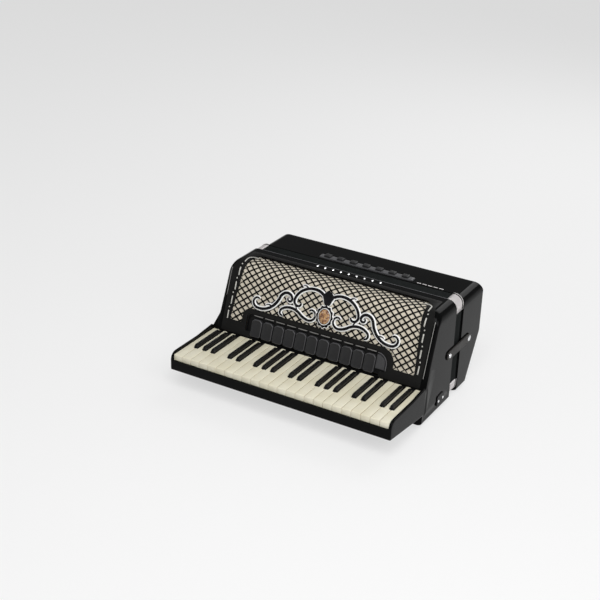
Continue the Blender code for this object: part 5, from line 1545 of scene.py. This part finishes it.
# Bass registers: a grey rail along the front edge of the bass side with seven black switches standing on it,
# and a short row of bright vent slots beside them. The switches are moulded and push from above.
BANK_LO, BANK_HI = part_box("bass_register_bank")
BANK_TALL = 0.0030
BASS_TABS = 7
BASS_TAB_STEP, BASS_TAB_HALF, BASS_TAB_IN, BASS_TAB_RISE = 0.030, 0.0075, 0.0006, 0.0025
VENTS = 5
VENT_FIRST, VENT_PITCH, VENT_LONG, VENT_HALF = 0.1300, 0.0122, 0.0098, 0.0012
VENT_SINK, VENT_RISE, VENT_BACK = 0.0002, 0.0005, 0.006


def flat_block(low, high, radius, crown):
    """A moulded block: a filleted rectangle in (X, Y) with its top edge rolled over and a slight crown."""
    loop = rounded(rectangle(low, high), radius, 5)
    size = (np.array(high[:2]) - np.array(low[:2])) / 2
    steps = (
        (0.0, high[2] - low[2]), (0.0, crown), (crown * 0.3, crown * 0.3), (crown, 0.0),
        (size.min() * 0.9, -crown * 0.15),
    )
    return pad(stacked, loop, [(1.0 - inset / size, high[2] - drop) for inset, drop in steps])


bank_grey = matte_plastic("register_grey", 0.10, 0.35)
bank = flat_block(BANK_LO, (BANK_HI.x, BANK_HI.y, BANK_LO.z + BANK_TALL), 0.0020, 0.0008)
piece("bass_register_rail", bank, bank_grey, "bass_side", "bass_register", ["bass_register_bank"])
for number in range(BASS_TABS):
    x = (BANK_LO.x + BANK_HI.x) / 2 + (number - (BASS_TABS - 1) / 2) * BASS_TAB_STEP
    tab_low = (x - BASS_TAB_HALF, BANK_LO.y + BASS_TAB_IN, BANK_LO.z + BASS_TAB_RISE)
    tab_high = (x + BASS_TAB_HALF, BANK_HI.y - BASS_TAB_IN, BANK_HI.z)
    tab = flat_block(tab_low, tab_high, 0.0022, 0.0012)
    piece(f"bass_switch_{number + 1}", tab, tab_black, "bass_side", "bass_register", ["bass_register_bank"])
vent_y = (BANK_LO.y + BANK_HI.y) / 2 - VENT_BACK
vents = []
for x in VENT_FIRST + np.arange(VENTS) * VENT_PITCH:
    vent_low = (x, vent_y - VENT_HALF, BASS_HI.z - VENT_SINK)
    vent_high = (x + VENT_LONG, vent_y + VENT_HALF, BASS_HI.z + VENT_RISE)
    vents.append(flat_block(vent_low, vent_high, 0.0010, 0.0002))
piece("vent_slots", gathered(vents), satin_silver, "bass_side")

# Bellows straps: two leather tongues riveted to the treble casing's ends, stitched along both sides. A press
# stud at the free end snaps onto a flat metal base on the bass casing and holds the bellows shut.
LOCK_SEAM, SEAM_FROM, SEAM_TO = 0.0026, 0.004, 0.009
RIVET_RADIUS, PRESS_RADIUS, BASE_RADIUS = 0.0046, 0.0062, 0.0060
PRESS_LEVELS = ((1.0, -0.0006), (1.0, 0.0006), (0.85, 0.0016), (0.5, 0.0021), (0.05, 0.0022))
BASE_LEVELS = (
    (1.0, -0.0006), (1.0, 0.0001), (0.92, 0.00022), (0.60, 0.00022),
    (0.54, 0.00008), (0.32, 0.00008), (0.26, 0.00022), (0.05, 0.00022),
)
for side_name, way, wall_x in ENDS:
    body = f"bellows_strap_{side_name}"
    lock_lo, lock_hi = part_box(body)
    half, lock_z = (lock_hi.z - lock_lo.z) / 2, (lock_lo.z + lock_hi.z) / 2
    near, far = lock_lo.y + half, lock_hi.y - half
    round_end = half * turned(np.linspace(-np.pi / 2, np.pi / 2, 17))
    tongue = np.concatenate([(far, lock_z) + round_end, (near, lock_z) - round_end])
    inner_x = lock_lo.x if way > 0 else lock_hi.x
    thick = lock_hi.x - lock_lo.x
    outer_x = inner_x + way * thick
    edges = ((0.0006, 0.0), (0.0, 0.0006), (0.0, thick - 0.0009), (0.0006, thick - 0.0002), (0.0016, thick))
    lock_half = np.array([(far - near) / 2 + half, half])
    lock = wall_pad(inner_x, way, tongue, [(1.0 - inset / lock_half, out) for inset, out in edges])
    piece(f"lock_strap_{side_name}", lock, strap_leather, body, "leather", [body])
    press = [
        wall_pad(outer_x, way, circle((y, lock_z), radius, 28), PRESS_LEVELS)
        for y, radius in ((near, RIVET_RADIUS), (far, PRESS_RADIUS))
    ]
    piece(f"lock_studs_{side_name}", gathered(press), bright_chrome, body)
    seam_y = np.arange(near + SEAM_FROM, far - SEAM_TO, STITCH_STEP)
    stitch_shapes = []
    for seam_z in (lock_z - half + LOCK_SEAM, lock_z + half - LOCK_SEAM):
        stitch_shapes += seam(seam_y, lambda along: stacked(outer_x, along, seam_z), (way, 0.0, 0.0))
    piece(f"lock_stitches_{side_name}", gathered(stitch_shapes), thread, body)
    base = wall_pad(wall_x, way, circle((far, lock_z), BASE_RADIUS, 28), BASE_LEVELS)
    piece(f"lock_base_{side_name}", base, bright_chrome, "bass_side")
